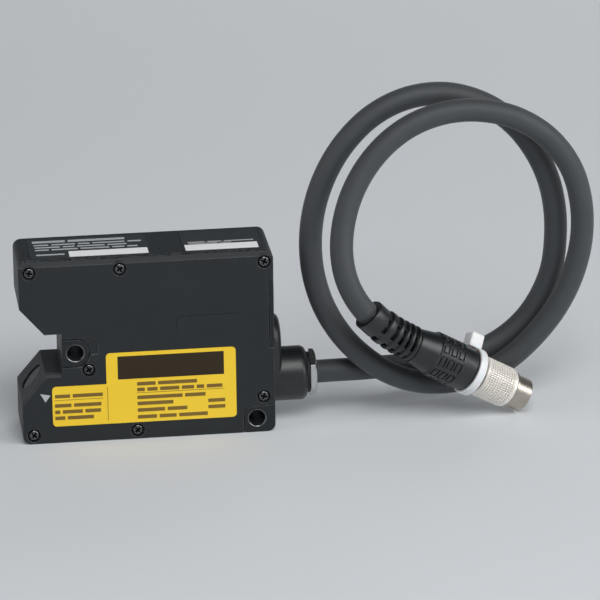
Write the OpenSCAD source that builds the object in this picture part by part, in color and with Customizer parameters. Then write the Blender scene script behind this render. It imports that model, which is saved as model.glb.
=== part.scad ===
// Laser displacement sensor head with a measuring notch, a short cable and a round push-pull plug.
// Millimetres. The origin is the middle of the base, the front looks along -Y and +Z is up.

/* [Body] */
// width of the body, left to right
body_w = 74; // [70:1:90]
// depth of the body, front to back
body_d = 22; // [20:0.5:28]
// height of the body
body_h = 56; // [54:1:70]
// radius of the body's long edges
corner_r = 2.4; // [1.5:0.1:3]
// wall of the housing
wall = 2.2; // [1.8:0.1:2.6]
// legs of the slanted edge along the top of the front
bevel = 1.7; // [1.4:0.1:2.4]

/* [Measuring notch] */
// height of the lower jaw at the left face
lower_jaw_h = 13.1; // [12:0.1:15]
// height of the upper jaw at the left face
upper_jaw_h = 14.3; // [13:0.1:17]
// rise of the slanted jaws
jaw_rise = 8.1; // [7:0.1:9]
// depth of the slanted jaws
jaw_d = 7; // [6:0.1:8]
// depth of the slot from the left face
slot_d = 12; // [11:0.2:12.6]

/* [Front cover] */
// thickness of the cover
cover_t = 1.5; // [1.2:0.1:2]
// thickness of the gasket under the cover
gasket_t = 0.3; // [0.2:0.05:0.5]
// width of the gasket's bead
gasket_w = 0.6; // [0.4:0.1:0.7]
// distance of the gasket from the body's outside
gasket_in = 1.1; // [1:0.1:1.2]
// gap between the cover and the lands that stand in it
seam = 0.2; // [0.1:0.05:0.3]
// depth of the shallow step round the upper mounting hole
step_t = 0.4; // [0.2:0.1:0.6]
// height of the step above the upper mounting hole
step_up = 4.7; // [4.4:0.1:6]
// reach of the step to the right of the upper mounting hole
step_side = 6.7; // [6:0.1:8]
// chamfer on the front edges of the lower jaw
jaw_chamfer = 0.8; // [0.4:0.1:1]

/* [Cover screws] */
// radius of a screw head
screw_head_r = 1.65; // [1.4:0.05:1.75]
// height of a screw head
screw_head_h = 0.9; // [0.7:0.1:1]
// radius of a screw's thread
screw_r = 0.95; // [0.8:0.05:1]
// length of a screw below its head
screw_l = 4.5; // [3.5:0.5:5]
// clearance round a screw's thread and head
screw_gap = 0.1; // [0.05:0.05:0.2]
// radius of the round pocket that a head lies in
screw_pocket_r = 2; // [1.9:0.05:2.1]
// radius of the land left in the slanted edge round a top screw
screw_land_r = 2.5; // [2.3:0.1:2.8]
// radius of a post in the housing that takes a screw
post_r = 2.6; // [2.2:0.1:2.8]
// length of a post
post_l = 5; // [4.5:0.1:5.2]
// distance of the left screws from the left edge
screw_left = 3.2; // [3:0.1:3.6]
// distance of the top right screw from the right edge
screw_right_top = 2.6; // [2.6:0.1:3.2]
// distance of the lower right screw from the right edge
screw_right_low = 3.3; // [3.2:0.1:3.6]
// height of the lower right screw above the base
screw_right_z = 10.9; // [10.6:0.1:12]
// distance of the top screws from the top edge
screw_top = 3.5; // [3.3:0.1:4]
// distance of the bottom screws from the base
screw_bottom = 2.6; // [2.5:0.1:3]
// place of the middle top screw, from the left edge
screw_mid_top = 29.4; // [27:0.2:32]
// place of the middle bottom screw, from the left edge
screw_mid_bottom = 33.5; // [30:0.5:40]
// place of the screw beside the upper mounting hole, to its right
screw_side_x = 3.8; // [3.7:0.1:4.2]
// place of that screw below the upper mounting hole
screw_side_z = 5.3; // [5.2:0.1:5.6]

/* [Mounting holes] */
// radius of a mounting hole
mount_r = 2.25; // [1.6:0.05:2.5]
// radius of the boss round the upper hole
mount_boss_r = 4.1; // [3.8:0.1:4.3]
// radius of the boss where the gasket lies on it
mount_base_r = 6.2; // [6:0.1:6.5]
// distance of the upper hole from the slot's end
mount_upper_in = 3.9; // [3.6:0.1:4.4]
// distance of the lower hole from the right edge
mount_lower_right = 5.4; // [5:0.1:6]
// distance of the lower hole from the base
mount_lower_z = 4.35; // [4:0.05:5]
// chamfer on the front edge of a mounting hole
mount_chamfer = 0.45; // [0.2:0.05:0.6]
// width of the flush corner land round the lower hole
corner_land_w = 9.1; // [8.6:0.1:10]
// height of the flush corner land
corner_land_h = 8.1; // [7.6:0.1:8.3]
// rounding of the corner land's inner corner
corner_land_r = 3; // [2:0.5:4]
// width of the flush tab in the cover's right edge
tab_w = 1.25; // [1:0.05:1.4]
// lower end of the tab above the base
tab_z0 = 26.1; // [25:0.5:28]
// upper end of the tab above the base
tab_z1 = 47.1; // [44:0.5:48]

/* [Windows and optics] */
// radius of a window
window_r = 4.15; // [3.6:0.05:4.4]
// thickness of a window
window_t = 1.2; // [0.8:0.1:1.4]
// depth of a window below its jaw face
window_drop = 0.4; // [0.2:0.1:0.5]
// clearance round a window and round a barrel
optic_gap = 0.05; // [0.03:0.01:0.1]
// radius of the free opening behind a window
aperture_r = 3.4; // [3:0.1:3.5]
// thickness of the shoulder between a window and its barrel
shoulder_t = 1; // [0.8:0.1:1.2]
// radius of a barrel
barrel_r = 4.5; // [4.2:0.1:4.6]
// wall of the tube that holds a barrel
tube_wall = 1.15; // [1:0.05:1.2]
// length of the tube that holds a barrel
tube_l = 9; // [8:0.5:10]
// length of the emitter barrel
emitter_l = 10.4; // [10:0.2:11]
// length of the receiver barrel
receiver_l = 11.4; // [11:0.2:12]
// radius of the collimator lens
collimator_r = 3.1; // [2.8:0.1:3.2]
// radius of the receiver lens
receiver_lens_r = 3.5; // [3.2:0.1:3.6]
// thickness of a lens at its edge
lens_edge = 1.2; // [1:0.1:1.4]
// bulge of a lens
lens_bulge = 0.7; // [0.4:0.1:0.9]
// radius of the laser diode's flange
diode_r = 2.8; // [2.6:0.1:2.9]
// radius of the laser diode's can
diode_can_r = 2.3; // [2:0.1:2.4]
// length of the laser diode's can
diode_can_l = 2.2; // [1.8:0.1:2.5]
// thickness of the laser diode's flange
diode_flange_t = 1.2; // [1:0.1:1.4]
// side of the image sensor's package across its board
sensor_w = 3.6; // [3:0.1:3.8]
// side of the image sensor's package along the depth
sensor_h = 4.2; // [3.6:0.1:4.4]
// thickness of the image sensor's package
sensor_t = 1.2; // [0.8:0.1:1.5]
// side of the sensor board across the axis
sensor_board_w = 11; // [10:0.5:12]
// side of the sensor board along the depth
sensor_board_h = 13; // [12:0.5:14]
// thickness of the sensor board
sensor_board_t = 1; // [0.8:0.1:1.2]

/* [Main board] */
// thickness of the main board
board_t = 1.6; // [1:0.1:2]
// height of the posts that carry the main board
standoff_h = 2.2; // [1.5:0.1:3]
// radius of those posts
standoff_r = 2.2; // [2:0.1:2.6]
// distance of the main board from the slot's end
board_left = 14; // [12:0.5:18]
// distance of the main board from the right edge
board_right = 7.5; // [7:0.5:10]
// height of the main board's lower edge above the base
board_bottom = 6; // [5.5:0.1:6.2]
// distance of the main board's upper edge from the top
board_top = 7; // [6.5:0.5:9]
// clearance round the main board at the corner land
board_gap = 0.5; // [0.3:0.1:0.8]
// distance of the board screws from the board's edges
board_screw_in = 3; // [2.6:0.1:3.2]
// radius of a board screw's head
board_head_r = 1.6; // [1.4:0.1:1.7]
// height of a board screw's head
board_head_h = 1.2; // [1:0.1:1.5]
// radius of a board screw's thread
board_screw_r = 0.8; // [0.6:0.05:0.9]
// length of a board screw's thread
board_screw_l = 3.4; // [3:0.1:3.6]
// side of the processor
chip_w = 12; // [9:0.5:14]
// thickness of the chips
chip_t = 1.4; // [1:0.1:2]
// distance of the chips from the board's left edge
chip_left = 7; // [6:0.5:8]
// distance of the chips from the board's upper edge
chip_down = 9; // [8:0.5:10]
// spacing between the chips
chip_gap = 3; // [2:0.5:4]
// side of the amplifier
amp_w = 8; // [6:0.5:9]
// height of the memory
memory_h = 5; // [4:0.5:6]
// side of the regulator
regulator_w = 6; // [5:0.5:6.5]
// radius of a capacitor
cap_r = 2; // [1.5:0.1:2.2]
// height of a capacitor
cap_h = 4; // [3:0.1:4.5]
// width of the wire header, left to right
header_w = 5; // [4:0.5:6]
// height of the wire header
header_h = 4.8; // [4.4:0.1:5]
// distance between the wire header and the end of the cable
lead_l = 5; // [3:0.5:7]
// radius of a lead wire
lead_r = 0.5; // [0.4:0.05:0.6]
// spacing of the lead wires
lead_pitch = 2.2; // [1.8:0.1:2.4]

/* [Cable gland] */
// height of the cable's axis above the base
gland_z = 13.8; // [13:0.1:15]
// radius of the round boss
gland_r = 8; // [7.6:0.1:8.4]
// thickness of the flange on the right side
flange_t = 2.6; // [2.4:0.1:4]
// top of the flange above the base
flange_top = 32.5; // [31:0.5:36]
// rounding of the flange's edges
flange_r = 2.2; // [1.5:0.1:2.3]
// length of the round boss from the flange
gland_l = 7.9; // [6:0.1:10]
// rounding of the boss's end
gland_round = 2; // [1:0.1:2.4]
// radius of the spigot in the housing's wall
spigot_r = 7; // [6.6:0.1:7.4]
// clearance round the spigot, the seal and the nut's neck
gland_gap = 0.05; // [0.03:0.01:0.1]
// radius of the bore that holds the seal
seal_r = 5.5; // [5.2:0.1:5.7]
// length of the seal
seal_l = 6.5; // [5:0.1:8]
// width of the rubber ring under the nut
ring_t = 0.8; // [0.5:0.1:1.2]
// radius of the rubber ring
ring_r = 6; // [5.8:0.1:6.2]
// width of the nut across its corners
nut_corners = 14; // [13:0.1:15]
// thickness of the nut
nut_t = 1.8; // [1.6:0.1:3]
// turn of the nut about the cable
nut_turn = -6; // [-30:1:30]
// radius of a flange screw's head
flange_head_r = 1.9; // [1.7:0.1:2]
// height of a flange screw's head
flange_head_h = 1.4; // [1:0.1:1.6]
// radius of a flange screw's thread
flange_screw_r = 1.2; // [1:0.05:1.25]
// depth of a flange screw in the flange
flange_screw_in = 2; // [1.6:0.1:2.2]
// half the spacing of the flange screws
flange_screw_half = 4.5; // [4:0.1:4.8]
// distance of the flange screws below the flange's top
flange_screw_down = 5.5; // [5:0.1:6]

/* [Cable and plug] */
// diameter of the cable
cable_d = 6.8; // [6.4:0.1:6.8]
// clearance between the cable and the bores round it
cable_gap = 0.1; // [0.05:0.05:0.2]
// place of the plug's shoulder: right, back, up
plug_pos = [77.3, -12.4, 25.1];
// pitch of the plug below level
plug_pitch = 30.5; // [30:0.1:31]
// yaw of the plug towards the back
plug_yaw = 12; // [11:0.5:13]
// length of the flexible tail
tail_l = 17.9; // [17:0.1:18]
// bend of the flexible tail
tail_bend = 18; // [17:0.5:19]
// straight end of the cable before the tail
tail_lead = 1.2; // [0.8:0.1:2]
// radius of the tail's core
tail_core_r = 3.5; // [3.4:0.05:3.6]
// thickness of the webs along the tail
tail_web = 2.2; // [1.6:0.1:2.6]
// reach of the webs from the tail's axis
tail_web_r = 4.55; // [4.3:0.05:4.6]
// turn of the webs about the tail's axis
tail_web_turn = 13; // [8:1:18]
// radius of the tail's collar
collar_r = 4.7; // [4.65:0.05:4.8]
// radius of the last ring of the tail
shoulder_r = 5.1; // [4.9:0.1:5.2]
// largest radius of the grip
grip_r = 6.75; // [6.6:0.05:6.75]
// start of the grip's pads behind the shoulder
grip_x = 6.8; // [6.5:0.1:7.2]
// axial pitch of the grip's pads
pad_pitch = 2.7; // [2.5:0.1:2.8]
// number of pads round the grip
pad_n = 10; // [8:1:12]
// depth of the grooves round the pads
pad_t = 0.55; // [0.4:0.05:0.6]
// width of those grooves
pad_groove = 0.45; // [0.3:0.05:0.5]
// length of the boot from the shoulder to its front end
boot_l = 22.5; // [22.4:0.1:22.8]
// radius of the boot's front end
boot_end_r = 6.3; // [6.2:0.05:6.4]
// radius of the plug's metal shell
shell_r = 5.05; // [4.9:0.05:5.1]
// length of the shell that is held in the boot
shell_in = 6; // [4:0.5:7]
// place of the shell's tip in front of the shoulder
shell_tip = 40.3; // [39.8:0.1:40.4]
// wall of the shell at its open end
shell_wall = 0.85; // [0.7:0.05:1]
// depth of the shell's open end
shell_open = 7.5; // [6:0.1:8]
// radius of the collar that stops the sleeve
stop_r = 5.5; // [5.4:0.05:5.6]
// width of that collar
stop_t = 0.6; // [0.4:0.1:0.8]
// radius of the coupling sleeve
sleeve_r = 6.1; // [5.9:0.05:6.15]
// length of the coupling sleeve
sleeve_l = 11.2; // [10.8:0.1:11.3]
// travel of the coupling sleeve when the plug is released
sleeve_travel = 1; // [0.6:0.1:1.1]
// clearance behind the sleeve at the end of its travel
sleeve_end_gap = 0.2; // [0.15:0.05:0.25]
// clearance of the sleeve on the shell
sleeve_gap = 0.1; // [0.06:0.02:0.16]
// chamfer of the sleeve's ends
sleeve_chamfer = 0.4; // [0.2:0.1:0.6]
// length of the contact insert
insert_l = 4; // [3:0.1:5]
// radius of a contact pin
pin_r = 0.35; // [0.25:0.05:0.4]
// length of a contact pin
pin_l = 2.6; // [2:0.1:3]
// number of contact pins in the outer ring
pin_n = 9; // [6:1:10]
// width of the cable tie
tie_w = 2.4; // [2:0.1:2.6]
// thickness of the cable tie
tie_t = 0.9; // [0.7:0.1:1]
// width of the tie's head
tie_head_w = 4.4; // [4:0.1:5]
// height of the tie's head
tie_head_h = 4.6; // [4:0.1:4.8]
// reach of the tie's head behind its band
tie_head_back = 2.7; // [2:0.1:2.7]
// turn of the tie's head from the top towards the back
tie_turn = 28; // [20:1:40]

/* [Labels] */
// thickness of the labels
label_t = 0.15; // [0.1:0.05:0.2]
// rounding of a label's corners
label_r = 1.2; // [0.6:0.1:1.5]
// lower edge of the front label above the base
label_z = 5.2; // [5:0.1:6]
// left edge of the front label from the left face
label_left = 8.8; // [8:0.1:10]
// right edge of the front label from the left face
label_right = 62.6; // [50:0.1:62.8]
// step in the front label, from the left face
label_step = 24.7; // [24.2:0.1:26]
// top of the front label's low part
label_low_top = 17.5; // [16:0.1:18.2]
// top of the front label's high part
label_high_top = 27; // [24:0.1:28]
// width of the blank plate
plate_w = 18.9; // [14:0.1:20]
// height of the blank plate
plate_h = 5; // [4:0.1:6]
// distance of the blank plate's middle from the right edge
plate_right = 18.95; // [14:0.1:20]
// height of the blank plate's middle above the notch's middle
plate_up = 7.3; // [6:0.1:8]
// distance of the top labels from the back edge
top_label_back = 2; // [1.5:0.1:3]
// depth of the top labels
top_label_d = 17.9; // [14:0.1:18]
// distance of the left top label from the left face
top_label_left = 3.9; // [3:0.1:6]
// width of the left top label
top_label_w = 34.6; // [30:0.1:36]
// distance of the right top label from the right edge
top_label_right = 2.8; // [2.5:0.1:4]
// width of the right top label
top_label_w2 = 22.7; // [18:0.1:26]

/* [Hidden] */
$fn = 64;
left = -body_w / 2;
right = body_w / 2;
front = -body_d / 2;
back = body_d / 2;
face_y = front + cover_t + gasket_t;
inner_back = back - wall;
over = 1;
mouth_half = (body_h - lower_jaw_h - upper_jaw_h) / 2;
slot_half = mouth_half - jaw_rise;
notch_z = lower_jaw_h + mouth_half;
jaw_angle = atan2(jaw_d, jaw_rise);
jaw_x = left + jaw_d / 2;
jaw_up = slot_half + jaw_rise / 2;
slot_x = left + slot_d;
upper_hole = [slot_x + mount_upper_in, notch_z];
lower_hole = [right - mount_lower_right, mount_lower_z];
top_screws = [
    [left + screw_left, body_h - screw_top],
    [left + screw_mid_top, body_h - screw_top],
    [right - screw_right_top, body_h - screw_top],
];
screws = concat(top_screws, [
    [right - screw_right_low, screw_right_z],
    [left + screw_mid_bottom, screw_bottom],
    [left + screw_left, screw_bottom],
    [upper_hole.x + screw_side_x, upper_hole.y - screw_side_z],
]);
seat_t = window_drop + window_t;
barrel_t = seat_t + shoulder_t;
tube_r = barrel_r + tube_wall;
diode_t = barrel_t + emitter_l - diode_flange_t;
board_y = inner_back - standoff_h - board_t;
board_x0 = slot_x + board_left;
board_x1 = right - board_right;
board_z1 = body_h - board_top;
board_screws_at = [for (x = [board_x0 + board_screw_in, board_x1 - board_screw_in],
    z = [gland_z + header_h / 2 + board_screw_in, board_z1 - board_screw_in]) [x, z]];
corner_wall = gasket_w + seam + 1;
cable_r = cable_d / 2;
cable_in = right - wall - 1.6;
header_x1 = cable_in - lead_l;
flange_x = right + flange_t;
boss_x = flange_x + gland_l;
nut_x = boss_x + ring_t;
exit_x = nut_x + nut_t;
seal_x0 = boss_x - seal_l - 2;
nut_r = nut_corners / 2;
neck_r = seal_r - gland_gap - 0.25;
flange_screw_z = flange_top - flange_screw_down;
arch_z = flange_top - gland_r;
tail_r = tail_l / (tail_bend * PI / 180);
sleeve_x0 = boot_l + sleeve_travel + sleeve_end_gap;
sleeve_x1 = sleeve_x0 + sleeve_l;
insert_x0 = shell_tip - shell_open;
tie_x = boot_l - tie_w;
pin_rings = [[2.8, pin_n], [1, 3]];

// The cable's route, from the housing through the gland, twice round its upright loop to the plug.
loop = [
    [51, 0, 13.8], [57, 0.2, 13.8], [63, 1, 13.5], [69, 2.6, 13.1], [79, 5.2, 12.4], [90, 7.4, 12.3],
    [100, 8.8, 14], [108, 9.4, 17.8], [114.5, 9.6, 23.4], [119.3, 9.6, 30.6], [122.4, 9.6, 38.8],
    [123.5, 9.6, 47.7], [123.3, 9.5, 56.8], [121.4, 9.3, 66.3], [117.2, 9, 75.8], [110.6, 8.6, 84.6],
    [101.5, 8.1, 91.4], [90.5, 7.6, 95], [79.2, 7, 94.4], [69, 6.3, 90], [60.9, 5.6, 82.7],
    [55, 4.7, 73.9], [51.2, 3.6, 64.1], [49.6, 2.2, 53.9], [50.2, 0.4, 43.5], [53.3, -1.8, 33.5],
    [59, -3.8, 24.5], [67, -4.7, 16.9], [74, -4.4, 12.6], [81.2, -2.8, 9.8], [89, 0, 8.2],
    [96.5, 2.4, 8.2], [103.6, 3.5, 10.2], [110.2, 3.5, 14.4], [117.2, 3, 21.4], [123.1, 2.4, 29.7],
    [127.4, 2, 39.2], [129.8, 1.6, 49.7], [129.7, 1.2, 61.1], [126.6, 0.8, 72.4], [119.8, 0.4, 82.1],
    [110.2, 0, 88.8], [99.6, -0.6, 91.9], [89.2, -1.4, 92], [79.8, -2.4, 89.4], [72.1, -3.6, 84.8],
    [66.1, -5, 78.9], [61.6, -6.8, 72.3], [58.6, -8.9, 65.2], [57, -11.4, 57.6], [57.05, -13.57, 51.2],
    [58.35, -15, 45.7], [60.8, -15.53, 40.6],
];
tail_end = plug_pos + plug_dir(-tail_r * sin(tail_bend), tail_r * (1 - cos(tail_bend)));
tail_dir = plug_dir(cos(tail_bend), -sin(tail_bend));
route = concat([[cable_in, 0, gland_z], [exit_x - over, 0, gland_z]], loop,
    [tail_end - tail_lead * tail_dir, tail_end]);

// A direction or offset in the plug's own frame, along its axis and up from it.
function plug_dir(x, z) = [
    (x * cos(plug_pitch) + z * sin(plug_pitch)) * cos(plug_yaw),
    (x * cos(plug_pitch) + z * sin(plug_pitch)) * sin(plug_yaw),
    z * cos(plug_pitch) - x * sin(plug_pitch),
];
function unit(v) = v / norm(v);

// Shapes that several pieces share
module slab(y0, y1) {
    translate([0, y1, 0]) rotate([90, 0, 0]) linear_extrude(y1 - y0) children();
}
module rod_y(p, r, y0, y1) {
    translate([p.x, y0, p.y]) rotate([-90, 0, 0]) cylinder(r = r, h = y1 - y0);
}
module rod_x(x0, x1, r) {
    translate([x0, 0, 0]) rotate([0, 90, 0]) cylinder(r = r, h = x1 - x0);
}
module round_rect(w, h, r) {
    translate([r, 0]) square([w - 2 * r, h]);
    translate([0, r]) square([w, h - 2 * r]);
    for (x = [r, w - r], y = [r, h - r]) translate([x, y]) circle(r);
}
module at_jaw(side) {
    translate([jaw_x, 0, notch_z + side * jaw_up]) rotate([0, -side * jaw_angle, 0]) children();
}
module at_gland() {
    translate([0, 0, gland_z]) children();
}
module at_plug() {
    translate(plug_pos) rotate([0, plug_pitch, plug_yaw]) children();
}
module at_tail(s) {
    a = s / tail_l * tail_bend;
    translate([-tail_r * sin(a), 0, tail_r * (1 - cos(a))]) rotate([0, a, 0]) children();
}
module lathe() {
    rotate([0, 90, 0]) rotate_extrude() children();
}

// The body's outline, drawn in by a distance
module notch_2d(d) {
    k = sqrt(jaw_d * jaw_d + jaw_rise * jaw_rise) / jaw_d;
    m = jaw_rise / jaw_d;
    x0 = left - over;
    x1 = left + jaw_d + d * (k - 1) / m;
    z0 = slot_half + d * k + m * (jaw_d + over);
    z1 = slot_half + d;
    translate([0, notch_z]) polygon([[x0, z0], [x1, z1], [slot_x + d, z1], [slot_x + d, -z1],
        [x1, -z1], [x0, -z0]]);
}
module body_2d(d) {
    difference() {
        translate([left + d, d]) round_rect(body_w - 2 * d, body_h - 2 * d, max(corner_r - d, 0.3));
        notch_2d(d);
    }
}
module boss_2d(d) {
    translate(upper_hole) {
        circle(mount_boss_r + d);
        translate([-mount_upper_in - over, -mount_boss_r - d])
            square([mount_upper_in + over, 2 * (mount_boss_r + d)]);
    }
}
module corner_2d(d) {
    w = corner_land_w + d;
    h = corner_land_h + d;
    r = corner_land_r + d;
    translate([right - w, 0]) {
        translate([r, 0]) square([w - r + over, h]);
        translate([0, -over]) square([w + over, h - r + over]);
        translate([r, h - r]) circle(r);
    }
}
module tab_2d(d) {
    translate([right - tab_w - d, tab_z0 - d]) square([tab_w + d + over, tab_z1 - tab_z0 + 2 * d]);
}
module lands_2d(d) {
    boss_2d(d);
    corner_2d(d);
    tab_2d(d);
}
module bevel_cut(grow) {
    difference() {
        translate([left - over, 0, 0]) rotate([90, 0, 90]) linear_extrude(body_w + 2 * over)
            polygon([[front - over, body_h - bevel - over - grow],
                [front + bevel + over + grow, body_h + over],
                [front - over, body_h + over]]);
        for (p = top_screws) rod_y(p, screw_land_r, front - over, front + bevel);
    }
}
module edge_cut(c, l) {
    rotate([90, 0, 90]) linear_extrude(l) polygon([[-over, -c - over], [c + over, over], [-over, over]]);
}
module jaw_chamfer_cut() {
    c = jaw_chamfer;
    translate([left + jaw_d - c, front, notch_z - slot_half]) edge_cut(c, slot_d - jaw_d + c - 0.3);
    translate([left, front, notch_z - mouth_half]) rotate([0, -90 + jaw_angle, 0])
        translate([-over, 0, 0]) edge_cut(c, norm([jaw_d, jaw_rise]) + 2 * over);
}

module hole_chamfer(p, y) {
    translate([p.x, y, p.y]) rotate([90, 0, 0]) translate([0, 0, -mount_chamfer - over])
        cylinder(r1 = mount_r - over, r2 = mount_r + mount_chamfer + over, h = mount_chamfer + 2 * over);
}

// Die-cast housing, open at the front
module housing() color("#3a4043") difference() {
    union() {
        difference() {
            slab(face_y, back) body_2d(0);
            bevel_cut(0);
            slab(front - over, inner_back) difference() {
                body_2d(wall);
                translate(upper_hole) circle(mount_base_r);
                corner_2d(corner_wall);
            }
        }
        slab(front + step_t / 2, face_y) intersection() { boss_2d(0); body_2d(0); }
        slab(front, face_y) intersection() {
            union() { corner_2d(0); tab_2d(0); }
            body_2d(0);
        }
        slab(face_y, face_y + 1.2) intersection() { tab_2d(corner_wall); body_2d(0); }
        intersection() {
            union() for (p = screws) rod_y(p, post_r, face_y, face_y + post_l);
            difference() {
                slab(face_y, back) body_2d(0);
                bevel_cut(0);
            }
        }
        for (s = [-1, 1]) at_jaw(s) rod_x(wall / 2, barrel_t + tube_l, tube_r);
        for (p = board_screws_at) rod_y(p, standoff_r, board_y + board_t, inner_back + 0.1);
    }
    for (p = screws) rod_y(p, screw_r + screw_gap, front - over, face_y + post_l - 0.3);
    for (p = [upper_hole, lower_hole]) rod_y(p, mount_r, front - over, back + over);
    hole_chamfer(upper_hole, front + step_t / 2);
    hole_chamfer(lower_hole, front);
    for (s = [-1, 1]) at_jaw(s) {
        rod_x(-over, seat_t, window_r + optic_gap);
        rod_x(seat_t - 0.1, barrel_t + 0.1, aperture_r);
        rod_x(barrel_t, barrel_t + tube_l + over, barrel_r + optic_gap);
    }
    at_gland() rod_x(right - wall - 0.1, right + over, spigot_r + gland_gap);
    for (y = [-1, 1]) translate([0, y * flange_screw_half, flange_screw_z])
        rod_x(right - wall - over, right + over, flange_screw_r + screw_gap);
    for (p = board_screws_at) rod_y(p, board_screw_r + 0.05, board_y, inner_back + 0.6);
}

// Front cover with its pockets, step and cut-outs
module front_cover() color("#33383b") difference() {
    slab(front, front + cover_t) difference() {
        body_2d(0);
        lands_2d(seam);
    }
    bevel_cut(0);
    jaw_chamfer_cut();
    slab(front - over, front + step_t) difference() {
        translate([slot_x - over, upper_hole.y - mount_boss_r - seam])
            square([over + mount_upper_in + step_side, mount_boss_r + seam + step_up]);
        translate([upper_hole.x + step_side, upper_hole.y + step_up]) difference() {
            translate([-corner_r, -corner_r]) square(corner_r + over);
            translate([-corner_r, -corner_r]) circle(corner_r);
        }
        translate([upper_hole.x + mount_boss_r / 2, upper_hole.y - mount_boss_r - over])
            square([step_side, mount_boss_r + over - 0.6]);
    }
    for (p = screws) {
        rod_y(p, screw_pocket_r, front - over, front + screw_head_h + 0.1);
        rod_y(p, screw_r + screw_gap, front, front + cover_t + over);
    }
}

module gasket_2d(d) {
    difference() {
        body_2d(gasket_in + d);
        lands_2d(seam + 0.3 + d);
    }
}
module cover_gasket() color("#15181a") slab(front + cover_t, face_y) difference() {
    gasket_2d(0);
    gasket_2d(gasket_w);
}

module cover_screws() color("#2a2d2f") for (p = screws) difference() {
    union() {
        rod_y(p, screw_head_r, front + 0.1, front + screw_head_h + 0.1);
        rod_y(p, screw_r, front + screw_head_h, front + screw_head_h + screw_l);
    }
    translate([p.x, front, p.y]) rotate([0, 45, 0]) for (a = [0, 90]) rotate([0, a, 0])
        cube([screw_head_r * 1.3, 1.2, 0.42], center = true);
}

// Optical pieces on the two slanted axes
module window_disc(side) {
    at_jaw(side) rod_x(window_drop, seat_t, window_r);
}
module emitter_window() color("#1c2a33") window_disc(-1);
module receiver_window() color("#1c2a33") window_disc(1);

module lens(r, edge) {
    R = (r * r + lens_bulge * lens_bulge) / (2 * lens_bulge);
    rotate([0, 90, 0]) rotate_extrude() {
        square([r, edge]);
        intersection() {
            translate([0, edge + lens_bulge - R]) circle(R);
            translate([0, edge - 0.01]) square([r, lens_bulge + over]);
        }
    }
}
lens_seat = barrel_t + 0.6 + lens_edge + lens_bulge + 0.2;

module emitter_barrel() color("#b08d4a") at_jaw(-1) difference() {
    rod_x(barrel_t, barrel_t + emitter_l, barrel_r);
    rod_x(barrel_t - over, lens_seat, collimator_r + optic_gap);
    rod_x(barrel_t, barrel_t + emitter_l + over, diode_can_r - 0.4);
    rod_x(diode_t - diode_can_l - 0.2, barrel_t + emitter_l + over, diode_can_r + optic_gap);
    rod_x(diode_t, barrel_t + emitter_l + over, diode_r + optic_gap);
}
module collimator_lens() color("#9fb8c2") at_jaw(-1)
    translate([lens_seat, 0, 0]) mirror([1, 0, 0]) lens(collimator_r, lens_edge);
module laser_diode() color("#c0a468") at_jaw(-1) {
    rod_x(diode_t, diode_t + diode_flange_t, diode_r);
    rod_x(diode_t - diode_can_l, diode_t + 0.05, diode_can_r);
    for (a = [0, 120, 240]) rotate([a, 0, 0]) translate([0, 0, diode_can_r / 2])
        rod_x(diode_t + diode_flange_t - 0.1, diode_t + diode_flange_t + 3.2, 0.22);
}
module receiver_barrel() color("#2b2f31") at_jaw(1) difference() {
    rod_x(barrel_t, barrel_t + receiver_l, barrel_r);
    rod_x(barrel_t - over, lens_seat, receiver_lens_r + optic_gap);
    rod_x(barrel_t, barrel_t + receiver_l + over, receiver_lens_r - 0.5);
}
module receiver_lens() color("#9fb8c2") at_jaw(1)
    translate([lens_seat, 0, 0]) mirror([1, 0, 0]) lens(receiver_lens_r, lens_edge);
module image_sensor() color("#30343a") at_jaw(1)
    translate([barrel_t + receiver_l - sensor_t, -sensor_h / 2, -sensor_w / 2])
    cube([sensor_t, sensor_h, sensor_w]);
module sensor_board() color("#1f5a3a") at_jaw(1)
    translate([barrel_t + receiver_l, -sensor_board_h / 2, -sensor_board_w / 2])
    cube([sensor_board_t, sensor_board_h, sensor_board_w]);

// Main board with what stands on it
module main_board() color("#1f5a3a") difference() {
    slab(board_y, board_y + board_t) difference() {
        translate([board_x0, board_bottom]) square([board_x1 - board_x0, board_z1 - board_bottom]);
        corner_2d(corner_wall + board_gap);
    }
    for (p = board_screws_at) rod_y(p, board_screw_r + 0.15, board_y - over, board_y + board_t + over);
}
module board_chips() color("#22252a") {
    x0 = board_x0 + chip_left;
    x1 = x0 + chip_w + chip_gap;
    z0 = board_z1 - chip_down;
    z1 = z0 - chip_w - chip_gap;
    slab(board_y - chip_t, board_y) {
        translate([x0, z0 - chip_w]) square(chip_w);
        translate([x1, z0 - amp_w]) square(amp_w);
        translate([x1, z0 - amp_w - chip_gap - memory_h]) square([amp_w, memory_h]);
        translate([x0, z1 - regulator_w]) square(regulator_w);
    }
    cap_z = z0 - amp_w - memory_h - 1.5 * chip_gap - cap_r;
    for (i = [0, 1]) rod_y([x0 + regulator_w + chip_gap + cap_r + i * (2 * cap_r + chip_gap / 2), cap_z],
        cap_r, board_y - cap_h, board_y);
}
module board_screws() color("#b9bcbd") for (p = board_screws_at) {
    rod_y(p, board_head_r, board_y - board_head_h, board_y);
    rod_y(p, board_screw_r, board_y - 0.1, board_y + board_screw_l);
}
module wire_header() color("#d9d4c4")
    slab(-lead_pitch / 2 - lead_r - 1, board_y)
    translate([header_x1 - header_w, gland_z - header_h / 2]) square([header_w, header_h]);
module lead_wires() color("#8a2f2a") at_gland() for (y = [-1, 1], z = [-1, 1])
    translate([0, y * lead_pitch / 2, z * lead_pitch / 2]) rod_x(header_x1, cable_in, lead_r);

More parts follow.
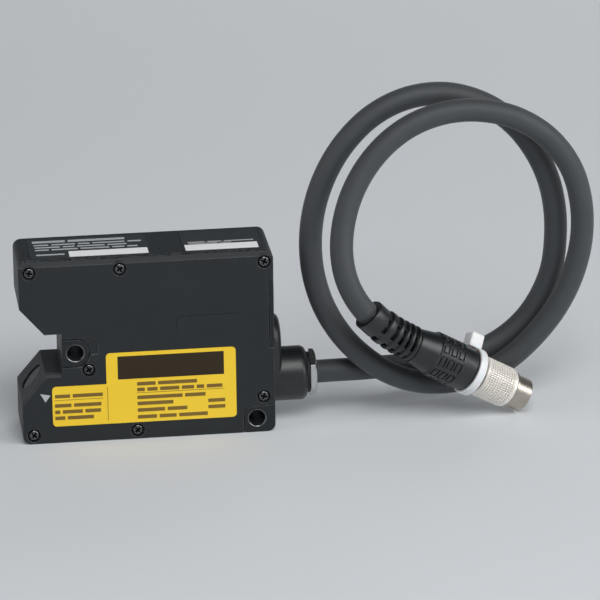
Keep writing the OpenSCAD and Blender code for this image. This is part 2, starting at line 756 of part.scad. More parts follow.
// Cable gland on the right side
module gland_flange() color("#2e3437") difference() {
    union() {
        intersection() {
            translate([right, 0, 0]) rotate([90, 0, 90]) linear_extrude(flange_t) union() {
                translate([0, gland_z]) circle(gland_r);
                translate([-gland_r, gland_z]) square([2 * gland_r, arch_z - gland_z]);
                translate([0, arch_z]) circle(gland_r);
            }
            union() {
                linear_extrude(arch_z) {
                    translate([right, -gland_r]) square([flange_t - flange_r, 2 * gland_r]);
                    translate([right, -gland_r + flange_r]) square([flange_t, 2 * (gland_r - flange_r)]);
                    for (s = [-1, 1]) translate([right + flange_t - flange_r, s * (gland_r - flange_r)])
                        circle(flange_r);
                }
                translate([right, 0, arch_z]) lathe() {
                    square([gland_r, flange_t - flange_r]);
                    square([gland_r - flange_r, flange_t]);
                    translate([gland_r - flange_r, flange_t - flange_r]) circle(flange_r);
                }
            }
        }
        at_gland() translate([right, 0, 0]) lathe() {
            square([gland_r, flange_t + gland_l - gland_round]);
            square([gland_r - gland_round, flange_t + gland_l]);
            translate([gland_r - gland_round, flange_t + gland_l - gland_round]) circle(gland_round);
        }
        at_gland() rod_x(right - wall, right + 0.1, spigot_r);
    }
    at_gland() {
        rod_x(right - wall - over, boss_x, cable_r + cable_gap);
        rod_x(seal_x0, boss_x + over, seal_r);
    }
    for (y = [-1, 1]) translate([0, y * flange_screw_half, flange_screw_z])
        rod_x(right - over, right + flange_screw_in + 0.2, flange_screw_r + 0.05);
}
module flange_screws() color("#b9bcbd") for (y = [-1, 1])
    translate([0, y * flange_screw_half, flange_screw_z]) {
        rod_x(right - wall - flange_head_h, right - wall, flange_head_r);
        rod_x(right - wall - 0.1, right + flange_screw_in, flange_screw_r);
    }
module gland_seal() color("#1b1e20") at_gland() difference() {
    rod_x(seal_x0, seal_x0 + seal_l, seal_r - gland_gap);
    rod_x(seal_x0 - over, seal_x0 + seal_l + over, cable_r + cable_gap);
}
module gland_ring() color("#1b1e20") at_gland() difference() {
    rod_x(boss_x, boss_x + ring_t, ring_r);
    rod_x(boss_x - over, boss_x + ring_t + over, neck_r + gland_gap);
}
module gland_nut() color("#c4c6c5") at_gland() difference() {
    union() {
        intersection() {
            rotate([nut_turn, 0, 0]) translate([nut_x, 0, 0]) rotate([0, 90, 0])
                cylinder(r = nut_r, h = nut_t, $fn = 6);
            translate([nut_x, 0, 0]) lathe() polygon([[0, 0], [nut_r, 0], [nut_r + 0.01, nut_t - 0.5],
                [nut_r * 0.87, nut_t], [0, nut_t]]);
        }
        rod_x(seal_x0 + seal_l, nut_x + 0.1, neck_r);
    }
    rod_x(seal_x0, exit_x + over, cable_r + cable_gap);
}

// Cable as one plain tube along its route
module tube(points, r, sides) {
    n = len(points);
    t = [for (i = [0:n - 1]) unit(points[min(i + 1, n - 1)] - points[max(i - 1, 0)])];
    u = [for (i = 0, v = [0, 0, 1]; i < n;
        i = i + 1, v = i < n ? unit(v - (v * t[i]) * t[i]) : v) unit(v - (v * t[i]) * t[i])];
    rings = [for (i = [0:n - 1], k = [0:sides - 1])
        points[i] + r * (cos(360 * k / sides) * u[i] + sin(360 * k / sides) * cross(t[i], u[i]))];
    sides_f = [for (i = [0:n - 2], k = [0:sides - 1], h = [0, 1])
        let (a = i * sides + k, b = i * sides + (k + 1) % sides)
        h == 0 ? [a, a + sides, b] : [b, a + sides, b + sides]];
    polyhedron(rings, concat(sides_f, [[for (k = [0:sides - 1]) k]],
        [[for (k = [0:sides - 1]) n * sides - 1 - k]]));
}
module cable() color("#4e5357") tube(route, cable_r, 10);

// Plug
rib_ends = [[0.3, 4.9], [6.1, 8.5], [9.7, 11.25], [12.35, 13.5], [14.5, 15.7], [16.7, 17.9]];
module plug_boot() color("#2f3437") at_plug() difference() {
    union() {
        multmatrix([[0, -1, 0, 0], [0, 0, 1, 0], [-1, 0, 0, tail_r], [0, 0, 0, 1]]) {
            rotate_extrude(angle = tail_bend) translate([tail_r, 0]) circle(tail_core_r);
            rotate_extrude(angle = tail_bend * (1 - 1 / tail_l)) translate([tail_r, 0])
                for (a = [45, 135]) rotate(a - tail_web_turn)
                    square([2 * tail_web_r, tail_web], center = true);
        }
        for (i = [0:len(rib_ends) - 1]) let (e = rib_ends[i] * tail_l / 17.9)
            at_tail(tail_l - (e[0] + e[1]) / 2)
            rod_x(-(e[1] - e[0]) / 2, (e[1] - e[0]) / 2,
                collar_r + (shoulder_r - collar_r) * i / (len(rib_ends) - 1));
        lathe() polygon([[0, -0.4], [shoulder_r - 0.3, -0.4], [shoulder_r - 0.3, 0.3], [shoulder_r + 0.1, 0.3],
            [grip_r - 0.45, grip_x - 0.3], [grip_r, grip_x], [grip_r, grip_x + 3 * pad_pitch],
            [boot_end_r + 0.1, tie_x - 0.3], [boot_end_r, tie_x], [boot_end_r, boot_l], [0, boot_l]]);
    }
    rod_x(boot_l - shell_in, boot_l + over, shell_r + gland_gap);
    for (i = [0:pad_n - 1], k = [0:2]) rotate([360 * (i + 0.5) / pad_n, 0, 0])
        translate([grip_x + pad_pitch * (k + 0.1), -1.6, grip_r - pad_t]) difference() {
            cube([pad_pitch * 0.8, 3.2, pad_t + over]);
            translate([pad_groove, pad_groove, -over])
                cube([pad_pitch * 0.8 - 2 * pad_groove, 3.2 - 2 * pad_groove, pad_t + 3 * over]);
        }
}
module plug_shell() color("#cfcac3") at_plug() difference() {
    union() {
        rod_x(boot_l - shell_in, shell_tip, shell_r);
        rod_x(sleeve_x1 + 0.05, sleeve_x1 + 0.05 + stop_t, stop_r);
    }
    rod_x(insert_x0, shell_tip + over, shell_r - shell_wall);
    translate([insert_x0 + insert_l, -0.5, shell_r - shell_wall - 0.5])
        cube([shell_open, 1, shell_wall * 0.6 + 0.5]);
}
module coupling_sleeve() color("#e6e2dc") at_plug() difference() {
    translate([sleeve_x0, 0, 0]) lathe() polygon([[shell_r + sleeve_gap, 0],
        [sleeve_r - sleeve_chamfer, 0], [sleeve_r, sleeve_chamfer], [sleeve_r, sleeve_l - 1.1],
        [sleeve_r - 0.25, sleeve_l - 1], [sleeve_r - 0.25, sleeve_l - sleeve_chamfer],
        [sleeve_r - sleeve_chamfer - 0.25, sleeve_l], [shell_r + sleeve_gap, sleeve_l]]);
}
module plug_insert() color("#24272a") at_plug()
    rod_x(insert_x0, insert_x0 + insert_l, shell_r - shell_wall - 0.05);
module contact_pins() color("#d8b25c") at_plug() for (g = pin_rings, i = [0:g[1] - 1])
    rotate([360 * i / g[1], 0, 0]) translate([0, 0, g[0]])
    rod_x(insert_x0 + insert_l, insert_x0 + insert_l + pin_l, pin_r);
module cable_tie() color("#dadcdd") at_plug() {
    difference() {
        rod_x(tie_x, tie_x + tie_w, boot_end_r + 0.05 + tie_t);
        rod_x(tie_x - over, tie_x + tie_w + over, boot_end_r + 0.05);
    }
    rotate([-tie_turn, 0, 0]) translate([tie_x - tie_head_back, -tie_head_w / 2, boot_end_r + 0.3])
        cube([tie_head_w, tie_head_w, tie_head_h]);
}

// Labels and the blank plate
module front_label() color("#efcb48") slab(front - label_t, front) translate([left, 0]) {
    translate([label_step, label_z])
        round_rect(label_right - label_step, label_high_top - label_z, label_r);
    translate([label_left, label_z])
        round_rect(label_step - label_left + 2 * label_r, label_low_top - label_z, label_r);
}
module top_label(x, w) {
    translate([x, back - top_label_back - top_label_d, body_h]) linear_extrude(label_t)
        round_rect(w, top_label_d, label_r);
}
module top_label_a() color("#3b4145") top_label(left + top_label_left, top_label_w);
module top_label_b() color("#3b4145") top_label(right - top_label_right - top_label_w2, top_label_w2);
module name_plate() color("#3f4549") slab(front - label_t, front)
    translate([right - plate_right - plate_w / 2, notch_z + plate_up - plate_h / 2])
    round_rect(plate_w, plate_h, label_r * 0.8);

housing();
front_cover();
cover_gasket();
cover_screws();
emitter_window();
receiver_window();
emitter_barrel();
collimator_lens();
laser_diode();
receiver_barrel();
receiver_lens();
image_sensor();
sensor_board();
main_board();
board_chips();
board_screws();
wire_header();
lead_wires();
gland_flange();
flange_screws();
gland_seal();
gland_ring();
gland_nut();
cable();
plug_boot();
plug_shell();
coupling_sleeve();
plug_insert();
contact_pins();
cable_tie();
front_label();
top_label_a();
top_label_b();
name_plate();
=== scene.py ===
import math

import bmesh
import bpy
from mathutils import Matrix, Vector


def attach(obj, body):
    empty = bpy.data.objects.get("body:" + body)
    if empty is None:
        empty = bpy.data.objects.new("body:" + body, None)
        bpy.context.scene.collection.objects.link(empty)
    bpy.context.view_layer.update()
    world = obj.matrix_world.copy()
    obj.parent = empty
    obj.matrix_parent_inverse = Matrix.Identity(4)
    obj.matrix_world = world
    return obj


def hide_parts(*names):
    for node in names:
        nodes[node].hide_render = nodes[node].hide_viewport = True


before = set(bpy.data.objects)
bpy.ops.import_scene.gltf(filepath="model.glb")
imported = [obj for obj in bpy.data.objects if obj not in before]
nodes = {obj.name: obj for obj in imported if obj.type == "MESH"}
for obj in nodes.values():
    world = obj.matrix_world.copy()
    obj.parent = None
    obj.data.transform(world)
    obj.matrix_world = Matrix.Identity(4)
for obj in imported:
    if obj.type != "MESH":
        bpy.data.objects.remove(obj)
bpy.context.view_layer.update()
scene = bpy.context.scene
mm = 0.001


def srgb(r, g, b):
    # colours are written as a screen shows them, and shaders take them linear
    part = [(c / 255 + 0.055) / 1.055 for c in (r, g, b)]
    return tuple(c ** 2.4 if c > 0.0905 else (c * 1.055 - 0.055) / 12.92 for c in part) + (1.0,)


# Camera
cameraSpec = {
    "place": (-0.1102, -1.2932, 0.4962),
    "right": (0.9922, -0.1243, -0.0125),
    "up": (0.0531, 0.3289, 0.9429),
    "lens": 282.84,
    "sensor": 36.0,
    "clip": (0.05, 30),
}


def makeCamera(spec):
    data = bpy.data.cameras.new("studioCamera")
    data.lens, data.sensor_width = spec["lens"], spec["sensor"]
    data.clip_start, data.clip_end = spec["clip"]
    right = Vector(spec["right"]).normalized()
    back = right.cross(Vector(spec["up"])).normalized()
    turn = Matrix((right, back.cross(right), back)).transposed()
    cam = bpy.data.objects.new("studioCamera", data)
    cam.matrix_world = Matrix.Translation(spec["place"]) @ turn.to_4x4()
    scene.collection.objects.link(cam)
    scene.camera = cam


makeCamera(cameraSpec)
print("camera set")


# Shader helpers
def addNode(tree, kind, links=None, **props):
    made = tree.nodes.new(kind)
    for key, value in props.items():
        setattr(made, key, value)
    for socket, source in (links or {}).items():
        if isinstance(source, bpy.types.NodeSocket):
            tree.links.new(source, made.inputs[socket])
        else:
            made.inputs[socket].default_value = source
    return made


def mathNode(tree, operation, a, b=None, clamp=False):
    links = {0: a} if b is None else {0: a, 1: b}
    return addNode(tree, "ShaderNodeMath", links, operation=operation, use_clamp=clamp).outputs[0]


def mixValues(tree, share, a, b):
    return addNode(tree, "ShaderNodeMix", {0: share, 2: a, 3: b}).outputs[0]


def mixColours(tree, share, a, b):
    return addNode(tree, "ShaderNodeMix", {0: share, 6: a, 7: b}, data_type="RGBA").outputs[2]


def mapRange(tree, value, given=(0.0, 1.0), wanted=(0.0, 1.0)):
    return addNode(tree, "ShaderNodeMapRange", {
        "Value": value, "From Min": given[0], "From Max": given[1],
        "To Min": wanted[0], "To Max": wanted[1]}).outputs[0]


def objectSpot(tree):
    return addNode(tree, "ShaderNodeTexCoord").outputs["Object"]


def newMaterial(name):
    mat = bpy.data.materials.new(name)
    mat.use_nodes = True
    return mat, mat.node_tree, mat.node_tree.nodes["Principled BSDF"]


def newGroup(name, inputs, outputs):
    tree = bpy.data.node_groups.new(name, "ShaderNodeTree")
    for label, value in inputs.items():
        socket = tree.interface.new_socket(name=label, in_out="INPUT", socket_type="NodeSocketFloat")
        socket.default_value = value
    for label, kind in outputs.items():
        tree.interface.new_socket(name=label, in_out="OUTPUT", socket_type=kind)
    return tree, tree.nodes.new("NodeGroupInput"), tree.nodes.new("NodeGroupOutput")


def useGroup(tree, group, values):
    made = addNode(tree, "ShaderNodeGroup", node_tree=group)
    for label, value in values.items():
        made.inputs[label].default_value = value
    return made


# Effects that several finishes share
def makeGrainGroup():
    tree, given, out = newGroup("surfaceGrain", {"Scale": 2600.0, "Coarse": 0.3},
                                {"Height": "NodeSocketFloat"})
    spot, scale, broadShare = objectSpot(tree), given.outputs["Scale"], 0.22
    fine = addNode(tree, "ShaderNodeTexNoise", {
        "Vector": spot, "Scale": scale, "Detail": 3.0, "Roughness": 0.6})
    broad = addNode(tree, "ShaderNodeTexNoise", {
        "Vector": spot, "Scale": mathNode(tree, "MULTIPLY", scale, broadShare), "Detail": 2.0})
    height = mixValues(tree, given.outputs["Coarse"], fine.outputs[0], broad.outputs[0])
    tree.links.new(height, out.inputs["Height"])
    return tree


def makeCloudGroup():
    tree, given, out = newGroup("toneCloud", {"Scale": 60.0, "Contrast": 1.6}, {"Tone": "NodeSocketFloat"})
    middle = 0.5
    cloud = addNode(tree, "ShaderNodeTexNoise", {
        "Vector": objectSpot(tree), "Scale": given.outputs["Scale"], "Detail": 5.0, "Roughness": 0.55})
    off = mathNode(tree, "SUBTRACT", cloud.outputs[0], middle)
    more = mathNode(tree, "MULTIPLY", off, given.outputs["Contrast"])
    tree.links.new(mathNode(tree, "ADD", more, middle, True), out.inputs["Tone"])
    return tree


# lighter edges: a painted highlight along the bevelled edges, broken into patches by noise
def makeEdgeHighlightGroup():
    tree, given, out = newGroup("rubbedEdge", {"Radius": 0.0003, "Breakup": 900.0},
                                {"Mask": "NodeSocketFloat", "Normal": "NodeSocketVector"})
    gain, patchy = 5.0, (0.35, 0.65)
    soft = addNode(tree, "ShaderNodeBevel", {"Radius": given.outputs["Radius"]}, samples=6)
    flat = addNode(tree, "ShaderNodeNewGeometry")
    dot = addNode(tree, "ShaderNodeVectorMath", {0: soft.outputs["Normal"], 1: flat.outputs["Normal"]},
                  operation="DOT_PRODUCT")
    near = mathNode(tree, "MULTIPLY", mathNode(tree, "SUBTRACT", 1.0, dot.outputs["Value"]), gain, True)
    patch = addNode(tree, "ShaderNodeTexNoise", {
        "Vector": objectSpot(tree), "Scale": given.outputs["Breakup"], "Detail": 4.0})
    paintedLightMask = mapRange(tree, patch.outputs[0], patchy)
    tree.links.new(mathNode(tree, "MULTIPLY", near, paintedLightMask), out.inputs["Mask"])
    tree.links.new(soft.outputs["Normal"], out.inputs["Normal"])
    return tree


def makeTurnedGroup():
    tree, given, out = newGroup("turnedRings", {"Axis X": 1.0, "Axis Y": 0.0, "Axis Z": 0.0, "Rings": 9000.0},
                                {"Height": "NodeSocketFloat"})
    axis = addNode(tree, "ShaderNodeCombineXYZ", {0: given.outputs["Axis X"], 1: given.outputs["Axis Y"],
                                                  2: given.outputs["Axis Z"]})
    along = addNode(tree, "ShaderNodeVectorMath", {0: objectSpot(tree), 1: axis.outputs[0]},
                    operation="DOT_PRODUCT")
    rings = addNode(tree, "ShaderNodeTexNoise", {"W": along.outputs["Value"], "Scale": given.outputs["Rings"],
                                                 "Detail": 2.0}, noise_dimensions="1D")
    tree.links.new(rings.outputs[0], out.inputs["Height"])
    return tree


grainGroup, cloudGroup = makeGrainGroup(), makeCloudGroup()
edgeGroup, turnedGroup = makeEdgeHighlightGroup(), makeTurnedGroup()

# Plug frame in mm: its X axis runs from the shoulder to the tip
plugSpec = {"place": (77.3, -12.4, 25.1), "pitch": 30.5, "yaw": 12.0, "axis": (0.8428, 0.179143, -0.507538)}
plugPlace = (Matrix.Translation(Vector(plugSpec["place"]) * mm)
             @ Matrix.Rotation(math.radians(plugSpec["yaw"]), 4, "Z")
             @ Matrix.Rotation(math.radians(plugSpec["pitch"]), 4, "Y") @ Matrix.Scale(mm, 4))

# The boot's tail bends behind the shoulder, and is painted with shade where it is hollow
tailSpec = {"length": 17.9, "bend": 18.0, "start": -0.2, "hollow": (4.5, 4.2), "shade": (3, 4, 5),
            "share": 0.9}
tailRadius = tailSpec["length"] / math.radians(tailSpec["bend"])


def tailHollow(tree, spec):
    # the distance from the tail's bent middle line tells the hollows from the rings
    turned = addNode(tree, "ShaderNodeMapping", {
        "Vector": objectSpot(tree), "Location": [v * mm for v in plugSpec["place"]],
        "Rotation": (0.0, math.radians(plugSpec["pitch"]), math.radians(plugSpec["yaw"])),
        "Scale": (mm, mm, mm)}, vector_type="TEXTURE")
    x, y, z = addNode(tree, "ShaderNodeSeparateXYZ", {0: turned.outputs[0]}).outputs
    flat = addNode(tree, "ShaderNodeCombineXYZ", {0: x, 1: mathNode(tree, "SUBTRACT", z, tailRadius)})
    bow = addNode(tree, "ShaderNodeVectorMath", {0: flat.outputs[0]}, operation="LENGTH")
    rise = mathNode(tree, "SUBTRACT", bow.outputs["Value"], tailRadius)
    arm = addNode(tree, "ShaderNodeCombineXYZ", {0: rise, 1: y})
    away = addNode(tree, "ShaderNodeVectorMath", {0: arm.outputs[0]}, operation="LENGTH")
    low = mapRange(tree, away.outputs["Value"], spec["hollow"])
    return mathNode(tree, "MULTIPLY", low, mathNode(tree, "LESS_THAN", x, spec["start"]))


# Finishes: grain gives its scale, strength and depth, and turned gives its rings, strength and axis
grainSpan = (0.3, 0.7)
turnedDepth = 0.004


def makeFinish(name, spec):
    mat, tree, bsdf = newMaterial(name)
    for label, value in spec.get("plain", {}).items():
        bsdf.inputs[label].default_value = value
    cloud = useGroup(tree, cloudGroup, {"Scale": spec.get("cloud", 70.0), "Contrast": 1.6})
    colour = mixColours(tree, cloud.outputs[0], srgb(*spec["dark"]), srgb(*spec["light"]))
    normal = None
    # the edge tint is a painted highlight along the edges
    if "edge" in spec:
        width, tint, share = spec["edge"]
        edge = useGroup(tree, edgeGroup, {"Radius": width * mm})
        amount = mathNode(tree, "MULTIPLY", edge.outputs["Mask"], share)
        colour = mixColours(tree, amount, colour, srgb(*tint))
        normal = edge.outputs["Normal"]
    # the groove tint is painted shade in grooves and slots
    if "groove" in spec:
        tint, share = spec["groove"]
        low = addNode(tree, "ShaderNodeAttribute", attribute_name="grooveDepth")
        amount = mathNode(tree, "MULTIPLY", low.outputs["Fac"], share)
        colour = mixColours(tree, amount, colour, srgb(*tint))
    # the tail tint is painted shade in the tail's hollows
    if "tail" in spec:
        tail = spec["tail"]
        amount = mathNode(tree, "MULTIPLY", tailHollow(tree, tail), tail["share"])
        colour = mixColours(tree, amount, colour, srgb(*tail["shade"]))
    tree.links.new(colour, bsdf.inputs["Base Color"])
    if "turned" in spec:
        (rings, strength, axis), depth = spec["turned"], turnedDepth
        pattern = useGroup(tree, turnedGroup, {"Rings": rings, "Axis X": axis[0], "Axis Y": axis[1],
                                               "Axis Z": axis[2]})
    else:
        scale, strength, depth = spec["grain"]
        pattern = useGroup(tree, grainGroup, {"Scale": scale, "Coarse": 0.3})
    tree.links.new(mapRange(tree, pattern.outputs[0], grainSpan, spec["rough"]), bsdf.inputs["Roughness"])
    bump = addNode(tree, "ShaderNodeBump", {"Strength": strength, "Distance": depth * mm,
                                            "Height": pattern.outputs[0]})
    if normal is not None:
        tree.links.new(normal, bump.inputs["Normal"])
    tree.links.new(bump.outputs[0], bsdf.inputs["Normal"])
    return mat


metal = {"Metallic": 1.0}
# the edge tints below are painted highlights along the edges
finishes = {
    "bodyPaint": {"dark": (30, 34, 37), "light": (37, 41, 44), "rough": (0.4, 0.56),
                  "grain": (3000, 0.3, 0.03), "edge": (0.4, (112, 117, 119), 0.8),
                  "plain": {"Specular IOR Level": 0.26}},
    "coverPaint": {"dark": (28, 32, 35), "light": (34, 38, 41), "rough": (0.38, 0.52),
                   "grain": (3000, 0.3, 0.03), "edge": (0.4, (116, 121, 123), 0.85),
                   "plain": {"Specular IOR Level": 0.4}},
    "glandPlastic": {"dark": (17, 21, 24), "light": (23, 28, 31), "rough": (0.32, 0.44),
                     "grain": (2200, 0.12, 0.02), "edge": (0.3, (78, 83, 85), 0.5),
                     "plain": {"Specular IOR Level": 0.65}},
    # the screws' groove tint is painted shade in the slots, and their edge tint a painted highlight
    "screwBlack": {"dark": (78, 79, 81), "light": (108, 109, 111), "rough": (0.18, 0.32),
                   "grain": (5200, 0.2, 0.01), "edge": (0.14, (226, 226, 224), 0.85),
                   "groove": ((6, 6, 7), 0.95), "plain": metal},
    # the hole rims are lighter metal as a painted highlight
    "holeMetal": {"dark": (120, 122, 122), "light": (150, 152, 152), "rough": (0.24, 0.38),
                  "grain": (4200, 0.2, 0.01), "plain": metal},
    "gasketRubber": {"dark": (14, 16, 17), "light": (22, 24, 25), "rough": (0.6, 0.8),
                     "grain": (2600, 0.3, 0.02)},
    "sealRubber": {"dark": (16, 18, 19), "light": (25, 27, 28), "rough": (0.5, 0.7),
                   "grain": (2400, 0.3, 0.02), "edge": (0.15, (60, 62, 63), 0.3)},
    "nutNickel": {"dark": (186, 188, 187), "light": (212, 214, 213), "rough": (0.16, 0.28),
                  "turned": (9000, 0.35, (1, 0, 0)), "edge": (0.15, (235, 236, 234), 0.5), "plain": metal},
    "shellNickel": {"dark": (174, 166, 155), "light": (196, 188, 177), "rough": (0.24, 0.34),
                    "turned": (8000, 0.3, plugSpec["axis"]), "edge": (0.12, (240, 238, 233), 0.4),
                    "plain": metal},
    # the knurl's groove tint is painted shade between the teeth
    "knurlNickel": {"dark": (243, 238, 230), "light": (253, 250, 244), "rough": (0.34, 0.48),
                    "grain": (4200, 0.2, 0.01), "groove": ((140, 130, 119), 0.38),
                    "plain": {"Metallic": 0.5}},
    "bootRubber": {"dark": (12, 16, 19), "light": (18, 23, 26), "rough": (0.3, 0.42),
                   "grain": (2400, 0.22, 0.02), "edge": (0.28, (82, 87, 89), 0.4), "tail": tailSpec,
                   "plain": {"Specular IOR Level": 0.7}},
    "tieNylon": {"dark": (226, 229, 231), "light": (242, 244, 245), "rough": (0.32, 0.5),
                 "grain": (1500, 0.12, 0.02), "edge": (0.15, (243, 244, 245), 0.3),
                 "plain": {"Subsurface Weight": 0.25, "Subsurface Scale": 0.0012}},
    "yellowFilm": {"dark": (248, 206, 50), "light": (253, 215, 64), "rough": (0.4, 0.54),
                   "grain": (1400, 0.1, 0.02), "cloud": 45, "plain": {"Specular IOR Level": 0.3}},
    "darkFilm": {"dark": (38, 43, 47), "light": (45, 50, 54), "rough": (0.4, 0.55),
                 "grain": (1800, 0.12, 0.02), "plain": {"Specular IOR Level": 0.3}},
    "plateFilm": {"dark": (34, 38, 41), "light": (39, 43, 46), "rough": (0.36, 0.5),
                  "grain": (1800, 0.12, 0.02), "plain": {"Specular IOR Level": 0.32}},
    "brownInk": {"dark": (45, 35, 20), "light": (53, 43, 26), "rough": (0.42, 0.56),
                 "grain": (3200, 0.1, 0.01), "plain": {"Specular IOR Level": 0.28}},
    "rowInk": {"dark": (112, 87, 29), "light": (134, 106, 38), "rough": (0.42, 0.56),
               "grain": (3600, 0.1, 0.01)},
    "whiteInk": {"dark": (238, 240, 242), "light": (247, 248, 249), "rough": (0.42, 0.56),
                 "grain": (2400, 0.1, 0.01)},
    "greyInk": {"dark": (166, 171, 174), "light": (188, 193, 196), "rough": (0.42, 0.56),
                "grain": (2400, 0.1, 0.01)},
    "markInk": {"dark": (172, 177, 180), "light": (188, 193, 196), "rough": (0.42, 0.56),
                "grain": (2400, 0.1, 0.01)},
    "brassTurned": {"dark": (176, 138, 66), "light": (206, 170, 96), "rough": (0.2, 0.34),
                    "turned": (8000, 0.3, (0.757, 0, -0.654)), "plain": metal},
    "goldPlate": {"dark": (205, 164, 84), "light": (226, 188, 110), "rough": (0.2, 0.32),
                  "grain": (3000, 0.1, 0.01), "plain": metal},
    "barrelBlack": {"dark": (24, 25, 27), "light": (33, 34, 36), "rough": (0.4, 0.55),
                    "grain": (2600, 0.2, 0.02), "plain": {"Metallic": 0.4}},
    "chipBlack": {"dark": (26, 27, 29), "light": (36, 37, 39), "rough": (0.5, 0.65),
                  "grain": (3000, 0.3, 0.02)},
    "boardGreen": {"dark": (20, 74, 46), "light": (32, 96, 60), "rough": (0.35, 0.5),
                   "grain": (1500, 0.2, 0.02)},
    "plainSteel": {"dark": (170, 171, 173), "light": (196, 197, 199), "rough": (0.25, 0.4),
                   "grain": (2600, 0.15, 0.01), "plain": metal},
    "headerPlastic": {"dark": (206, 200, 184), "light": (222, 217, 203), "rough": (0.4, 0.55),
                      "grain": (2000, 0.15, 0.02)},
    "wireRed": {"dark": (150, 44, 38), "light": (172, 58, 50), "rough": (0.38, 0.5),
                "grain": (2000, 0.15, 0.02)},
    "insertPlastic": {"dark": (26, 28, 30), "light": (36, 38, 40), "rough": (0.4, 0.55),
                      "grain": (2600, 0.2, 0.02)},
}
mats = {name: makeFinish(name, spec) for name, spec in finishes.items()}

glasses = {
    "windowGlass": {"tint": (30, 37, 39), "rough": (0.1, 0.19), "depth": 0.3, "shine": 0.1},
    "lensGlass": {"tint": (214, 228, 236), "rough": (0.01, 0.1), "depth": 0.95, "shine": 0.3},
}


def makeGlass(name, spec):
    mat, tree, bsdf = newMaterial(name)
    bsdf.inputs["Base Color"].default_value = srgb(*spec["tint"])
    bsdf.inputs["Transmission Weight"].default_value = spec["depth"]
    bsdf.inputs["IOR"].default_value = 1.5
    bsdf.inputs["Specular IOR Level"].default_value = spec["shine"]
    dust = useGroup(tree, cloudGroup, {"Scale": 420.0, "Contrast": 2.4})
    tree.links.new(mapRange(tree, dust.outputs[0], wanted=spec["rough"]), bsdf.inputs["Roughness"])
    return mat


mats.update({name: makeGlass(name, spec) for name, spec in glasses.items()})
print("finishes:", len(mats))


# Mesh helpers
def addPiece(name, verts, faces, material, smooth=False, place=None, uvs=None):
    mesh = bpy.data.meshes.new(name)
    mesh.from_pydata(verts, [], faces)
    if place is not None:
        mesh.transform(place)
    mesh.materials.append(material)
    mesh.polygons.foreach_set("use_smooth", [smooth] * len(mesh.polygons))
    if uvs:
        layer = mesh.uv_layers.new(name=uvs[0])
        for loop, value in zip(layer.data, uvs[1]):
            loop.uv = value
    mesh.update()
    made = bpy.data.objects.new(name, mesh)
    scene.collection.objects.link(made)
    return made


def lathe(profile, sides):
    # profile is (along, radius) round the X axis, closed on itself
    verts, faces, count = [], [], len(profile)
    for k in range(sides):
        a = 2 * math.pi * k / sides
        verts += [(x, r * math.sin(a), r * math.cos(a)) for x, r in profile]
    for k in range(sides):
        here, there = k * count, (k + 1) % sides * count
        faces += [(here + i, here + (i + 1) % count, there + (i + 1) % count, there + i)
                  for i in range(count)]
    return verts, faces


def roundedRing(x0, x1, inner, outer, soft, steps):
    # a lathe profile from the inner radius to the outer one, with its two outer corners rounded
    arc = [math.radians(90 * k / steps) for k in range(steps + 1)]
    return ([(x0, inner)]
            + [(x0 + soft - soft * math.cos(a), outer - soft + soft * math.sin(a)) for a in arc]
            + [(x1 - soft + soft * math.sin(a), outer - soft + soft * math.cos(a)) for a in arc]
            + [(x1, inner)])


def addRing(verts, faces, profile, sides, place):
    ringVerts, ringFaces = lathe(profile, sides)
    start = len(verts)
    verts += [place @ Vector(v) for v in ringVerts]
    faces += [tuple(start + k for k in face) for face in ringFaces]


def faceOut(obj):
    work = bmesh.new()
    work.from_mesh(obj.data)
    bmesh.ops.remove_doubles(work, verts=work.verts, dist=1e-7)
    bmesh.ops.recalc_face_normals(work, faces=work.faces)
    work.to_mesh(obj.data)
    work.free()
    obj.data.update()


# Cable
cableSpec = {
    "radius": 3.4 * mm, "sides": 28, "step": 1.6 * mm, "exit": (50.1 * mm, 0.0, 13.8 * mm),
    "dark": (53, 56, 59), "light": (66, 70, 73), "rough": (0.5, 0.68), "sheen": (0.12, 0.5),
    "uvPerMetre": 30, "drawn": (46.0, 5.0, 1.0), "cloudShare": 0.4, "streakShare": 0.35, "bump": (0.3, 0.03),
    "route": [
        (33.2, 0, 13.8), (49.1, 0, 13.8),
        (51, 0, 13.8), (57, 0.2, 13.8), (63, 1, 13.5), (69, 2.6, 13.1), (79, 5.2, 12.4), (90, 7.4, 12.3),
        (100, 8.8, 14), (108, 9.4, 17.8), (114.5, 9.6, 23.4), (119.3, 9.6, 30.6), (122.4, 9.6, 38.8),
        (123.5, 9.6, 47.7), (123.3, 9.5, 56.8), (121.4, 9.3, 66.3), (117.2, 9, 75.8), (110.6, 8.6, 84.6),
        (101.5, 8.1, 91.4), (90.5, 7.6, 95), (79.2, 7, 94.4), (69, 6.3, 90), (60.9, 5.6, 82.7),
        (55, 4.7, 73.9), (51.2, 3.6, 64.1), (49.6, 2.2, 53.9), (50.2, 0.4, 43.5), (53.3, -1.8, 33.5),
        (59, -3.8, 24.5), (67, -4.7, 16.9), (74, -4.4, 12.6), (81.2, -2.8, 9.8), (89, 0, 8.2),
        (96.5, 2.4, 8.2), (103.6, 3.5, 10.2), (110.2, 3.5, 14.4), (117.2, 3, 21.4), (123.1, 2.4, 29.7),
        (127.4, 2, 39.2), (129.8, 1.6, 49.7), (129.7, 1.2, 61.1), (126.6, 0.8, 72.4), (119.8, 0.4, 82.1),
        (110.2, 0, 88.8), (99.6, -0.6, 91.9), (89.2, -1.4, 92), (79.8, -2.4, 89.4), (72.1, -3.6, 84.8),
        (66.1, -5, 78.9), (61.6, -6.8, 72.3), (58.6, -8.9, 65.2), (57, -11.4, 57.6), (57.05, -13.57, 51.2),
        (58.35, -15, 45.7), (60.8, -15.53, 40.6), (63.06747, -15.42522, 37.33779),
        (63.84524, -15.2599, 36.43904),
    ],
}


